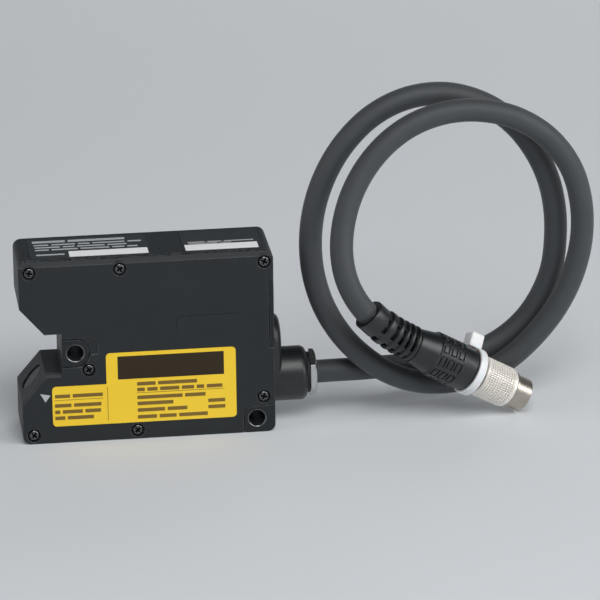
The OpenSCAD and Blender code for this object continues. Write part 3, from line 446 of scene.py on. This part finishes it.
def makeJacket(spec):
    mat, tree, bsdf = newMaterial("cableJacket")
    uv = addNode(tree, "ShaderNodeUVMap", uv_map="jacketUV")
    drawn = addNode(tree, "ShaderNodeMapping", {"Vector": uv.outputs[0], "Scale": spec["drawn"]})
    streak = addNode(tree, "ShaderNodeTexNoise", {
        "Vector": drawn.outputs[0], "Scale": 1.0, "Detail": 4.0}).outputs[0]
    cloud = useGroup(tree, cloudGroup, {"Scale": 130.0, "Contrast": 1.8})
    tone = mixValues(tree, spec["cloudShare"], streak, cloud.outputs[0])
    colour = mixColours(tree, tone, srgb(*spec["dark"]), srgb(*spec["light"]))
    tree.links.new(colour, bsdf.inputs["Base Color"])
    grain = useGroup(tree, grainGroup, {"Scale": 2400.0, "Coarse": 0.35}).outputs[0]
    tree.links.new(mapRange(tree, grain, grainSpan, spec["rough"]), bsdf.inputs["Roughness"])
    strength, depth = spec["bump"]
    bump = addNode(tree, "ShaderNodeBump", {"Strength": strength, "Distance": depth * mm,
                                            "Height": mixValues(tree, spec["streakShare"], grain, streak)})
    tree.links.new(bump.outputs[0], bsdf.inputs["Normal"])
    bsdf.inputs["Sheen Weight"].default_value, bsdf.inputs["Sheen Roughness"].default_value = spec["sheen"]
    return mat


def smoothRoute(points, step):
    # a centripetal curve through the route's points
    pts = [Vector(p) * mm for p in points]
    pts = [2 * pts[0] - pts[1]] + pts + [2 * pts[-1] - pts[-2]]
    path = []
    for i in range(1, len(pts) - 2):
        p0, p1, p2, p3 = pts[i - 1:i + 3]
        t0 = 0.0
        t1 = t0 + (p1 - p0).length ** 0.5
        t2 = t1 + (p2 - p1).length ** 0.5
        t3 = t2 + (p3 - p2).length ** 0.5
        parts = max(1, round((p2 - p1).length / step))
        for k in range(parts):
            t = t1 + (t2 - t1) * k / parts
            a1 = p0 * ((t1 - t) / (t1 - t0)) + p1 * ((t - t0) / (t1 - t0))
            a2 = p1 * ((t2 - t) / (t2 - t1)) + p2 * ((t - t1) / (t2 - t1))
            a3 = p2 * ((t3 - t) / (t3 - t2)) + p3 * ((t - t2) / (t3 - t2))
            b1 = a1 * ((t2 - t) / (t2 - t0)) + a2 * ((t - t0) / (t2 - t0))
            b2 = a2 * ((t3 - t) / (t3 - t1)) + a3 * ((t - t1) / (t3 - t1))
            path.append(b1 * ((t2 - t) / (t2 - t1)) + b2 * ((t - t1) / (t2 - t1)))
    return path + [pts[-2]]


def makeCable(spec):
    path, sides, radius = smoothRoute(spec["route"], spec["step"]), spec["sides"], spec["radius"]
    count, uvScale, verts, faces, uvs = len(path), spec["uvPerMetre"], [], [], []
    side, far = Vector((0, 0, 1)), [0.0]
    for i in range(count):
        ahead = (path[min(i + 1, count - 1)] - path[max(i - 1, 0)]).normalized()
        side = (side - ahead * side.dot(ahead)).normalized()
        across = ahead.cross(side)
        for k in range(sides):
            a = 2 * math.pi * k / sides
            verts.append(path[i] + (side * math.cos(a) + across * math.sin(a)) * radius)
        if i:
            far.append(far[-1] + (path[i] - path[i - 1]).length)
    for i in range(count - 1):
        for k in range(sides):
            n = (k + 1) % sides
            faces.append((i * sides + k, i * sides + n, (i + 1) * sides + n, (i + 1) * sides + k))
            u0, u1, v0, v1 = k / sides, (k + 1) / sides, far[i] * uvScale, far[i + 1] * uvScale
            uvs += [(u0, v0), (u1, v0), (u1, v1), (u0, v1)]
    faces += [tuple(reversed(range(sides))), tuple((count - 1) * sides + k for k in range(sides))]
    uvs += [(0.5, 0.0)] * (2 * sides)
    made = addPiece("cableRun", verts, faces, makeJacket(spec), True, None, ("jacketUV", uvs))
    return made, path, far[-1]


cableRun, cablePath, cableLength = makeCable(cableSpec)
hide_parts("cable")
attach(cableRun, "sensor")
print("cable:", round(cableLength, 4), "m along", len(cablePath), "points")


# Geometry Nodes helpers
def newTree(name, inputs):
    tree = bpy.data.node_groups.new(name, "GeometryNodeTree")
    tree.interface.new_socket(name="Geometry", in_out="INPUT", socket_type="NodeSocketGeometry")
    sockets = {}
    for label, (kind, value) in inputs.items():
        socketType = "NodeSocket" + kind
        sockets[label] = tree.interface.new_socket(name=label, in_out="INPUT", socket_type=socketType)
        if value is not None:
            sockets[label].default_value = value
    tree.interface.new_socket(name="Geometry", in_out="OUTPUT", socket_type="NodeSocketGeometry")
    return tree, tree.nodes.new("NodeGroupInput"), tree.nodes.new("NodeGroupOutput"), sockets


def endTree(tree, shape, finish, out):
    solid = addNode(tree, "GeometryNodeRealizeInstances", {0: shape})
    paint = addNode(tree, "GeometryNodeSetMaterial", {0: solid.outputs[0], "Material": finish})
    tree.links.new(paint.outputs[0], out.inputs[0])


def runTree(obj, tree, sockets, values):
    mod = obj.modifiers.new(tree.name, "NODES")
    mod.node_group = tree
    for label, value in values.items():
        mod[sockets[label].identifier] = value
    bpy.context.view_layer.update()
    done = bpy.data.meshes.new_from_object(obj.evaluated_get(bpy.context.evaluated_depsgraph_get()))
    obj.modifiers.clear()
    old, obj.data = obj.data, done
    done.name = obj.name
    bpy.data.meshes.remove(old)


# Knurled coupling sleeve
sleeveSpec = {"start": 23.7, "knurlStart": 0.5, "knurlLength": 9.6, "root": 5.75, "depth": 0.34, "teeth": 54,
              "rows": 11, "fine": 6, "sides": 96,
              "profile": [(0, 5.15), (0, 5.7), (0.32, 6.02), (0.5, 6.05), (0.55, 5.73), (10.05, 5.73),
                          (10.12, 5.86), (10.76, 5.86), (11.2, 5.45), (11.2, 5.15)]}


def makeKnurlTree():
    tree, given, out, sockets = newTree("squareKnurl", {
        "Start": ("Float", 0.5), "Length": ("Float", 7.5), "Root": ("Float", 5.8), "Depth": ("Float", 0.3),
        "Teeth": ("Int", 54), "Rows": ("Int", 11), "Fine": ("Int", 6), "Finish": ("Material", None)})
    flankGain, endGain, weldGap = 4.5, 40.0, 0.0005
    teeth, rows, fine = given.outputs["Teeth"], given.outputs["Rows"], given.outputs["Fine"]
    wide = mathNode(tree, "ADD", mathNode(tree, "MULTIPLY", teeth, fine), 1.0)
    high = mathNode(tree, "ADD", mathNode(tree, "MULTIPLY", rows, fine), 1.0)
    grid = addNode(tree, "GeometryNodeMeshGrid", {"Size X": 1.0, "Size Y": 1.0, "Vertices X": wide,
                                                  "Vertices Y": high})
    place = addNode(tree, "ShaderNodeSeparateXYZ", {0: addNode(tree, "GeometryNodeInputPosition").outputs[0]})
    u = mathNode(tree, "ADD", place.outputs[0], 0.5)
    v = mathNode(tree, "ADD", place.outputs[1], 0.5)
    across = mathNode(tree, "PINGPONG", mathNode(tree, "MULTIPLY", u, teeth), 0.5)
    up = mathNode(tree, "PINGPONG", mathNode(tree, "MULTIPLY", v, rows), 0.5)
    slope = mathNode(tree, "MULTIPLY", mathNode(tree, "MINIMUM", across, up), flankGain)
    peak = mathNode(tree, "MINIMUM", slope, 1.0)
    inward = mathNode(tree, "MULTIPLY", mathNode(tree, "PINGPONG", v, 0.5), endGain)
    fade = mathNode(tree, "MINIMUM", inward, 1.0)
    lift = mathNode(tree, "MULTIPLY", mathNode(tree, "MULTIPLY", peak, given.outputs["Depth"]), fade)
    radius = mathNode(tree, "ADD", lift, given.outputs["Root"])
    angle = mathNode(tree, "MULTIPLY", u, 2 * math.pi)
    run = mathNode(tree, "MULTIPLY", v, given.outputs["Length"])
    along = mathNode(tree, "ADD", run, given.outputs["Start"])
    spot = addNode(tree, "ShaderNodeCombineXYZ", {
        0: along, 1: mathNode(tree, "MULTIPLY", radius, mathNode(tree, "SINE", angle)),
        2: mathNode(tree, "MULTIPLY", radius, mathNode(tree, "COSINE", angle))})
    # the grooves between the teeth are stored for painted shade, which the finish lays there
    paintedLightMask = addNode(tree, "GeometryNodeStoreNamedAttribute", {
        "Geometry": grid.outputs[0], "Name": "grooveDepth", "Value": mathNode(tree, "SUBTRACT", 1.0, peak)},
        data_type="FLOAT", domain="POINT")
    wrap = addNode(tree, "GeometryNodeSetPosition", {
        "Geometry": paintedLightMask.outputs[0], "Position": spot.outputs[0]})
    weld = addNode(tree, "GeometryNodeMergeByDistance", {"Geometry": wrap.outputs[0], "Distance": weldGap})
    flip = addNode(tree, "GeometryNodeFlipFaces", {0: weld.outputs[0]})
    both = addNode(tree, "GeometryNodeJoinGeometry")
    tree.links.new(given.outputs["Geometry"], both.inputs[0])
    tree.links.new(flip.outputs[0], both.inputs[0])
    endTree(tree, both.outputs[0], given.outputs["Finish"], out)
    return tree, sockets


def makeSleeve(spec):
    verts, faces = lathe(spec["profile"], spec["sides"])
    made = addPiece("knurledSleeve", verts, faces, mats["knurlNickel"])
    faceOut(made)
    tree, sockets = makeKnurlTree()
    runTree(made, tree, sockets, {
        "Start": spec["knurlStart"], "Length": spec["knurlLength"], "Root": spec["root"],
        "Depth": spec["depth"], "Teeth": spec["teeth"], "Rows": spec["rows"], "Fine": spec["fine"],
        "Finish": mats["knurlNickel"]})
    made.data.transform(plugPlace @ Matrix.Translation((spec["start"], 0, 0)))
    return made


knurledSleeve = makeSleeve(sleeveSpec)
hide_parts("coupling_sleeve")
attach(knurledSleeve, "sleeve")
print("sleeve:", len(knurledSleeve.data.polygons), "faces")


# Cover screws with crossed slots
screwSpec = {"head": 1.65, "height": 0.9, "flat": 0.95, "drop": 0.42, "curve": 2.2, "crown": 0.05,
             "shaft": 0.95, "shaftLength": 4.5, "seat": -10.0, "recess": 0.55, "slot": 0.52, "slope": 0.1,
             "span": 2.1, "ramp": 0.28, "sides": 72, "rings": 22,
             "places": [(-33.8, 52.5, 12), (-7.6, 52.5, 55), (34.4, 52.5, 24), (33.7, 10.9, 14),
                        (-3.5, 2.6, 50), (-33.8, 2.6, 38), (-17.3, 22.1, 62)]}


def slotDepth(spec, x, z):
    # from 0 on the head to 1 on the floor of the slots
    deepest = 0.0
    for along, across in ((abs(x), abs(z)), (abs(z), abs(x))):
        wall = min(1.0, max(0.0, (spec["slot"] / 2 + spec["slope"] / 2 - across) / spec["slope"]))
        end = min(1.0, max(0.0, (spec["span"] / 2 - along) / spec["ramp"]))
        deepest = max(deepest, wall * end)
    return deepest


def headHeight(spec, x, z):
    r = math.hypot(x, z)
    rim = max(0.0, (r - spec["flat"]) / (spec["head"] - spec["flat"]))
    top = spec["height"] - spec["drop"] * rim ** spec["curve"] - spec["crown"] * (r / spec["head"]) ** 2
    return top - spec["recess"] * slotDepth(spec, x, z)


def makeHead(spec):
    sides, rings = spec["sides"], spec["rings"]
    verts, faces = [(0.0, -headHeight(spec, 0, 0), 0.0)], []
    for i in range(1, rings + 1):
        r = spec["head"] * i / rings
        for k in range(sides):
            a = 2 * math.pi * k / sides
            x, z = r * math.cos(a), r * math.sin(a)
            verts.append((x, -headHeight(spec, x, z), z))
    faces += [(0, 1 + (k + 1) % sides, 1 + k) for k in range(sides)]
    for i in range(rings - 1):
        for k in range(sides):
            n, base = (k + 1) % sides, 1 + i * sides
            faces.append((base + k, base + n, base + sides + n, base + sides + k))
    rim = 1 + (rings - 1) * sides
    for r, y in ((spec["head"], 0.0), (spec["shaft"], 0.0), (spec["shaft"], spec["shaftLength"])):
        start = len(verts)
        verts += [(r * math.cos(2 * math.pi * k / sides), y, r * math.sin(2 * math.pi * k / sides))
                  for k in range(sides)]
        faces += [(rim + k, rim + (k + 1) % sides, start + (k + 1) % sides, start + k) for k in range(sides)]
        rim = start
    faces.append(tuple(rim + k for k in range(sides)))
    made = addPiece("screwShape", verts, faces, mats["screwBlack"], True)
    faceOut(made)
    # the slots are stored for painted shade, which darkens them nearly to black
    dark = made.data.attributes.new("grooveDepth", "FLOAT", "POINT")
    dark.data.foreach_set("value", [slotDepth(spec, v.co.x, v.co.z) if v.co.y < 0 else 0.0
                                    for v in made.data.vertices])
    return made


def makeScrewTree():
    tree, given, out, sockets = newTree("screwsOnPoints", {
        "Screw": ("Object", None), "Size": ("Float", 1.0), "Finish": ("Material", None)})
    shape = addNode(tree, "GeometryNodeObjectInfo", {"Object": given.outputs["Screw"]})
    turn = addNode(tree, "GeometryNodeInputNamedAttribute", {"Name": "driverTurn"}, data_type="FLOAT")
    spin = addNode(tree, "ShaderNodeCombineXYZ", {1: turn.outputs["Attribute"]})
    put = addNode(tree, "GeometryNodeInstanceOnPoints", {
        "Points": given.outputs["Geometry"], "Instance": shape.outputs["Geometry"],
        "Rotation": spin.outputs[0], "Scale": given.outputs["Size"]})
    endTree(tree, put.outputs[0], given.outputs["Finish"], out)
    return tree, sockets


def makeScrews(spec):
    shape = makeHead(spec)
    points = [(x, spec["seat"], z) for x, z, a in spec["places"]]
    made = addPiece("coverScrews", points, [], mats["screwBlack"])
    turn = made.data.attributes.new("driverTurn", "FLOAT", "POINT")
    turn.data.foreach_set("value", [math.radians(a) for x, z, a in spec["places"]])
    tree, sockets = makeScrewTree()
    runTree(made, tree, sockets, {"Screw": shape, "Size": 1.0, "Finish": mats["screwBlack"]})
    made.data.transform(Matrix.Scale(mm, 4))
    bpy.data.objects.remove(shape)
    return made


coverScrews = makeScrews(screwSpec)
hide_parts("cover_screws")
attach(coverScrews, "sensor")
print("screws:", len(coverScrews.data.polygons), "faces")


# Lighter metal rims on the chamfers of the mounting holes, a painted highlight where the chamfers catch the
# light
rimSpec = {"hole": 2.25, "chamfer": 0.45, "thick": 0.04, "sides": 64,
           "places": [(-21.1, -10.8, 27.4), (31.6, -11.0, 4.35)]}


def makeRims(spec):
    hole, cut, thick = spec["hole"], spec["chamfer"], spec["thick"]
    profile = [(-cut, hole), (0.0, hole + cut), (0.0, hole + cut - thick), (-cut, hole - thick)]
    verts, faces = [], []
    for place in spec["places"]:
        turned = Matrix.Translation(place) @ Matrix.Rotation(math.radians(-90), 4, "Z")
        addRing(verts, faces, profile, spec["sides"], turned)
    made = addPiece("holeRims", verts, faces, mats["holeMetal"], True, Matrix.Scale(mm, 4))
    faceOut(made)
    return made


holeRims = makeRims(rimSpec)
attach(holeRims, "sensor")
print("rims:", len(holeRims.data.polygons), "faces")


# Raised bands of the boot's tail: from, to and lift, in mm from the cable's end
bandSpec = {"radius": (4.7, 5.1), "sink": 0.35, "round": 0.34, "roundShare": 0.7, "steps": 4, "sides": 72,
            "trim": 0.15, "high": 0.2,
            "bands": [(0.3, 4.9, 0.08), (6.1, 8.5, 0.4), (9.7, 11.25, 0.4), (12.35, 13.5, 0.4),
                      (14.5, 15.7, 0.4), (16.7, 17.9, 0.3)]}


def makeBands(spec):
    first, last = spec["radius"]
    verts, faces, count = [], [], len(spec["bands"])
    for i, (low, high, lift) in enumerate(spec["bands"]):
        half, ring = (high - low) / 2 - spec["trim"], first + (last - first) * i / (count - 1)
        soft = min(spec["round"], spec["roundShare"] * half)
        profile = roundedRing(-half, half, ring - spec["sink"], ring + lift, soft, spec["steps"])
        back = (tailSpec["length"] - (low + high) / 2) / tailRadius
        place = (Matrix.Translation((-tailRadius * math.sin(back), 0, tailRadius * (1 - math.cos(back))))
                 @ Matrix.Rotation(back, 4, "Y") @ Matrix.Translation((0, 0, spec["high"])))
        addRing(verts, faces, profile, spec["sides"], place)
    made = addPiece("tailBands", verts, faces, mats["bootRubber"], True)
    faceOut(made)
    made.data.transform(plugPlace)
    return made


tailBands = makeBands(bandSpec)
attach(tailBands, "sensor")
print("tail bands:", len(bandSpec["bands"]))


# Cable tie: its ring, then its head and the strap's cut end as blocks (size, rounding, middle)
tieSpec = {"start": 20.1, "width": 2.4, "inner": 6.35, "thick": 0.9, "soft": 0.22, "steps": 3, "sides": 120,
           "turn": 28.0, "blockSteps": 4,
           "blocks": [((4.4, 4.4, 4.6), 0.55, (19.6, 0.0, 8.9)),
                      ((2.064, 2.3, 1.1), 0.2, (19.6, 2.35, 7.85))]}


def roundBox(size, radius, steps):
    work = bmesh.new()
    bmesh.ops.create_cube(work, size=1.0)
    for v in work.verts:
        v.co = Vector((v.co.x * size[0], v.co.y * size[1], v.co.z * size[2]))
    bmesh.ops.bevel(work, geom=work.edges[:], offset=radius, segments=steps, profile=0.5, affect="EDGES")
    return work


def makeTie(spec):
    end, outer = spec["start"] + spec["width"], spec["inner"] + spec["thick"]
    profile = roundedRing(spec["start"], end, spec["inner"], outer, spec["soft"], spec["steps"])
    verts, faces = lathe(profile, spec["sides"])
    made = addPiece("tieStrap", verts, faces, mats["tieNylon"], True)
    faceOut(made)
    work = bmesh.new()
    work.from_mesh(made.data)
    top = Matrix.Rotation(math.radians(-spec["turn"]), 4, "X")
    for size, radius, centre in spec["blocks"]:
        block = roundBox(size, radius, spec["blockSteps"])
        block.transform(top @ Matrix.Translation(centre))
        part = bpy.data.meshes.new("tieBlock")
        block.to_mesh(part)
        block.free()
        part.polygons.foreach_set("use_smooth", [True] * len(part.polygons))
        work.from_mesh(part)
        bpy.data.meshes.remove(part)
    work.to_mesh(made.data)
    work.free()
    made.data.transform(plugPlace)
    made.data.update()
    return made


tieStrap = makeTie(tieSpec)
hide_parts("cable_tie")
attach(tieStrap, "sensor")
print("tie made")


# Printed fields and rows on the labels, laid on the film
inkThick = 0.03


def roundedOutline(x0, y0, x1, y1, r, steps=4):
    r = min(r, (x1 - x0) / 2, (y1 - y0) / 2)
    corners = ((x1 - r, y1 - r), (x0 + r, y1 - r), (x0 + r, y0 + r), (x1 - r, y0 + r))
    points = []
    for turn, (cx, cy) in enumerate(corners):
        for k in range(steps + 1):
            a = math.radians(90 * (turn + k / steps))
            points.append((cx + r * math.cos(a), cy + r * math.sin(a)))
    return points


def printPatch(name, shapes, film, onTop, material):
    # film is the height that the ink lies on, in mm
    verts, faces = [], []
    for outline in shapes:
        start, count = len(verts), len(outline)
        for lift in (0.0, inkThick):
            verts += [(x, y, film + lift) if onTop else (x, film - lift, y) for x, y in outline]
        faces.append(tuple(start + count + k for k in range(count)))
        faces.append(tuple(start + k for k in reversed(range(count))))
        faces += [(start + k, start + (k + 1) % count, start + count + (k + 1) % count, start + count + k)
                  for k in range(count)]
    made = addPiece(name, verts, faces, material, False, Matrix.Scale(mm, 4))
    faceOut(made)
    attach(made, "sensor")
    return made


def wordRow(x0, y, height, lengths, gap, r):
    bars = []
    for length in lengths:
        bars.append(roundedOutline(x0, y - height / 2, x0 + length, y + height / 2, r))
        x0 += length + gap
    return bars


labelSpec = {
    "film": -11.15,
    "field": (-8.95, 18.75, 22.1, 25.85, 0.08),
    "rules": [(-12.15, 6.3, -11.99, 16.6, 0.05), (-27.6, 13.22, -13.4, 13.36, 0.05),
              (-3.6, 14.24, 22.2, 14.38, 0.05)],
    "rows": [(-27.4, 14.5, (4.4, 8.8)), (-27.5, 11.6, (4.8, 8.0)), (-27.5, 9.65, (1.5, 5.8, 4.6)),
             (-27.5, 7.75, (2.9, 7.6)), (-3.4, 17.1, (5.4, 11.4)),
             (-3.4, 15.3, (2.2, 3.0, 5.6, 3.6, 2.2, 4.6)), (-3.4, 12.87, (13.2, 6.0)), (-3.4, 10.98, (10.5,)),
             (-3.4, 8.94, (8.0, 5.8)), (-3.4, 6.81, (5.6, 5.0, 8.4)),
             (17.3, 10.75, (5.0,)), (17.3, 8.8, (5.0,))],
    "row": 1.1, "gap": 0.75, "round": 0.12,
}
fieldPrint = printPatch("labelField", [roundedOutline(*labelSpec["field"])], labelSpec["film"], False,
                        mats["brownInk"])
rowShapes = [roundedOutline(*rule) for rule in labelSpec["rules"]]
for rowX, rowZ, rowWords in labelSpec["rows"]:
    rowShapes += wordRow(rowX, rowZ, labelSpec["row"], rowWords, labelSpec["gap"], labelSpec["round"])
rowPrint = printPatch("labelRows", rowShapes, labelSpec["film"], False, mats["rowInk"])

topSpec = {
    "film": 56.15,
    "fields": [(-21.7, -8.1, 1.2, -3.1, 0.1), (12.0, -8.1, 33.2, -3.0, 0.1)],
    "rows": [(-31.6, 6.2, 1.7, (9.6, 16.6)), (-31.4, 3.4, 1.0, (4.4, 7.0, 3.4, 9.4, 4.0)),
             (-31.2, 1.2, 1.0, (7.4, 3.4, 8.0, 5.6)), (-31.2, -1.0, 1.0, (4.0, 7.6, 8.4, 3.6, 3.0)),
             (-31.2, -5.4, 1.1, (8.2,)), (13.2, -0.9, 0.8, (5.0, 4.0, 8.6)), (13.4, -2.2, 0.6, (8.4, 3.2))],
    "gap": 0.8, "round": 0.12,
}
topFields = printPatch("topFields", [roundedOutline(*box) for box in topSpec["fields"]], topSpec["film"],
                       True, mats["whiteInk"])
topShapes = []
for rowX, rowY, rowHigh, rowWords in topSpec["rows"]:
    topShapes += wordRow(rowX, rowY, rowHigh, rowWords, topSpec["gap"], topSpec["round"])
topRows = printPatch("topRows", topShapes, topSpec["film"], True, mats["greyInk"])

markSpec = {"film": -11.0, "outline": [(-31.71, 15.52), (-30.22, 12.82), (-28.7, 14.88)]}
beamMark = printPatch("beamMark", [markSpec["outline"]], markSpec["film"], False, mats["markInk"])
print("prints laid on the labels")


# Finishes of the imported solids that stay
nodeFinish = {
    "housing": "bodyPaint", "front_cover": "coverPaint", "cover_gasket": "gasketRubber",
    "emitter_window": "windowGlass", "receiver_window": "windowGlass", "emitter_barrel": "brassTurned",
    "collimator_lens": "lensGlass", "laser_diode": "goldPlate", "receiver_barrel": "barrelBlack",
    "receiver_lens": "lensGlass", "image_sensor": "chipBlack", "sensor_board": "boardGreen",
    "main_board": "boardGreen", "board_chips": "chipBlack", "board_screws": "plainSteel",
    "wire_header": "headerPlastic", "lead_wires": "wireRed", "gland_flange": "glandPlastic",
    "flange_screws": "plainSteel", "gland_seal": "sealRubber", "gland_ring": "sealRubber",
    "gland_nut": "nutNickel", "plug_boot": "bootRubber", "plug_shell": "shellNickel",
    "plug_insert": "insertPlastic", "contact_pins": "goldPlate", "front_label": "yellowFilm",
    "top_label_a": "darkFilm", "top_label_b": "darkFilm", "name_plate": "plateFilm",
}
for name, finish in nodeFinish.items():
    holder = nodes[name]
    if not holder.material_slots:
        holder.data.materials.append(mats[finish])
    for slot in holder.material_slots:
        slot.material = mats[finish]
print("finishes on", len(nodeFinish), "solids")


# Stage
stageSpec = {"half": 4.0, "floor": (213, 217, 221), "shine": 0.15, "rough": (0.75, 0.9), "glow": 0.135,
             "ambient": (0.46, 0.46, 0.4692), "backdrop": (162, 166, 169), "rise": (0.15, 0.6), "zenith": 0.1}


def seenRays(tree):
    path = addNode(tree, "ShaderNodeLightPath")
    mirrored = mathNode(tree, "ADD", path.outputs["Is Glossy Ray"], path.outputs["Is Transmission Ray"])
    seen = mathNode(tree, "ADD", path.outputs["Is Camera Ray"], mirrored)
    return mathNode(tree, "MINIMUM", seen, 1.0)


def makeStage(spec):
    half = spec["half"]
    floor = addPiece("studioFloor", [(-half, -half, 0), (half, -half, 0), (half, half, 0), (-half, half, 0)],
                     [(0, 1, 2, 3)], makeFloor(spec))
    world = bpy.data.worlds.new("studioWorld")
    scene.world = world
    world.use_nodes = True
    tree = world.node_tree
    back = tree.nodes["Background"]
    path = addNode(tree, "ShaderNodeLightPath")
    room = mixColours(tree, seenRays(tree), spec["ambient"] + (1.0,), srgb(*spec["backdrop"]))
    # the room is darker overhead than round the sides
    spot = addNode(tree, "ShaderNodeTexCoord")
    rise = addNode(tree, "ShaderNodeSeparateXYZ", {0: spot.outputs["Generated"]})
    dim = mapRange(tree, rise.outputs[2], spec["rise"], (1.0, spec["zenith"]))
    shade = mixValues(tree, path.outputs["Is Camera Ray"], dim, 1.0)
    light = addNode(tree, "ShaderNodeVectorMath", {0: room, "Scale": shade}, operation="SCALE")
    tree.links.new(light.outputs[0], back.inputs["Color"])
    back.inputs["Strength"].default_value = 1.0


def makeFloor(spec):
    mat, tree, bsdf = newMaterial("studioPaper")
    bsdf.inputs["Base Color"].default_value = srgb(*spec["floor"])
    bsdf.inputs["Specular IOR Level"].default_value = spec["shine"]
    paper = useGroup(tree, grainGroup, {"Scale": 900.0, "Coarse": 0.5})
    tree.links.new(mapRange(tree, paper.outputs[0], wanted=spec["rough"]), bsdf.inputs["Roughness"])
    # the paper looks a little paler than the lamps make it
    bsdf.inputs["Emission Color"].default_value = srgb(*spec["backdrop"])
    tree.links.new(mathNode(tree, "MULTIPLY", seenRays(tree), spec["glow"]), bsdf.inputs["Emission Strength"])
    return mat


# Lamps stand round the part: turn from the front and rise in degrees, far and size in metres
lampMiddle = (0.045, 0.0, 0.03)
lampSpec = {
    "keyBox": {"turn": 57, "rise": 29, "far": 1.3, "size": (0.9, 0.8), "power": 8.2},
    "frontBox": {"turn": 4, "rise": 50, "far": 1.3, "size": (0.6, 0.7), "power": 7.4},
    "leftBox": {"turn": -80, "rise": 25, "far": 1.4, "size": (0.6, 0.6), "power": 2.6},
    "backBox": {"turn": 154, "rise": 24, "far": 1.4, "size": (0.9, 0.6), "power": 3.2, "shine": False},
    "floorWash": {"turn": 0, "rise": 90, "far": 0.9, "size": (1.6, 0.5), "power": 0.6,
                  "aim": (0.05, 0.8, 0.0), "spread": 70},
}


def makeLamps(specs):
    for name, spec in specs.items():
        data = bpy.data.lights.new(name, "AREA")
        data.shape = "RECTANGLE"
        data.size, data.size_y = spec["size"]
        data.energy = spec["power"]
        data.spread = math.radians(spec.get("spread", 180))
        turn, rise = math.radians(spec["turn"]), math.radians(spec["rise"])
        away = Vector((math.sin(turn) * math.cos(rise), -math.cos(turn) * math.cos(rise), math.sin(rise)))
        spot = Vector(spec.get("aim", lampMiddle)) + away * spec["far"]
        lamp = bpy.data.objects.new(name, data)
        lamp.matrix_world = Matrix.Translation(spot) @ away.to_track_quat("Z", "Y").to_matrix().to_4x4()
        lamp.visible_glossy = spec.get("shine", True)
        scene.collection.objects.link(lamp)


makeStage(stageSpec)
makeLamps(lampSpec)
scene.view_settings.view_transform = "Standard"
print("stage and lamps set")
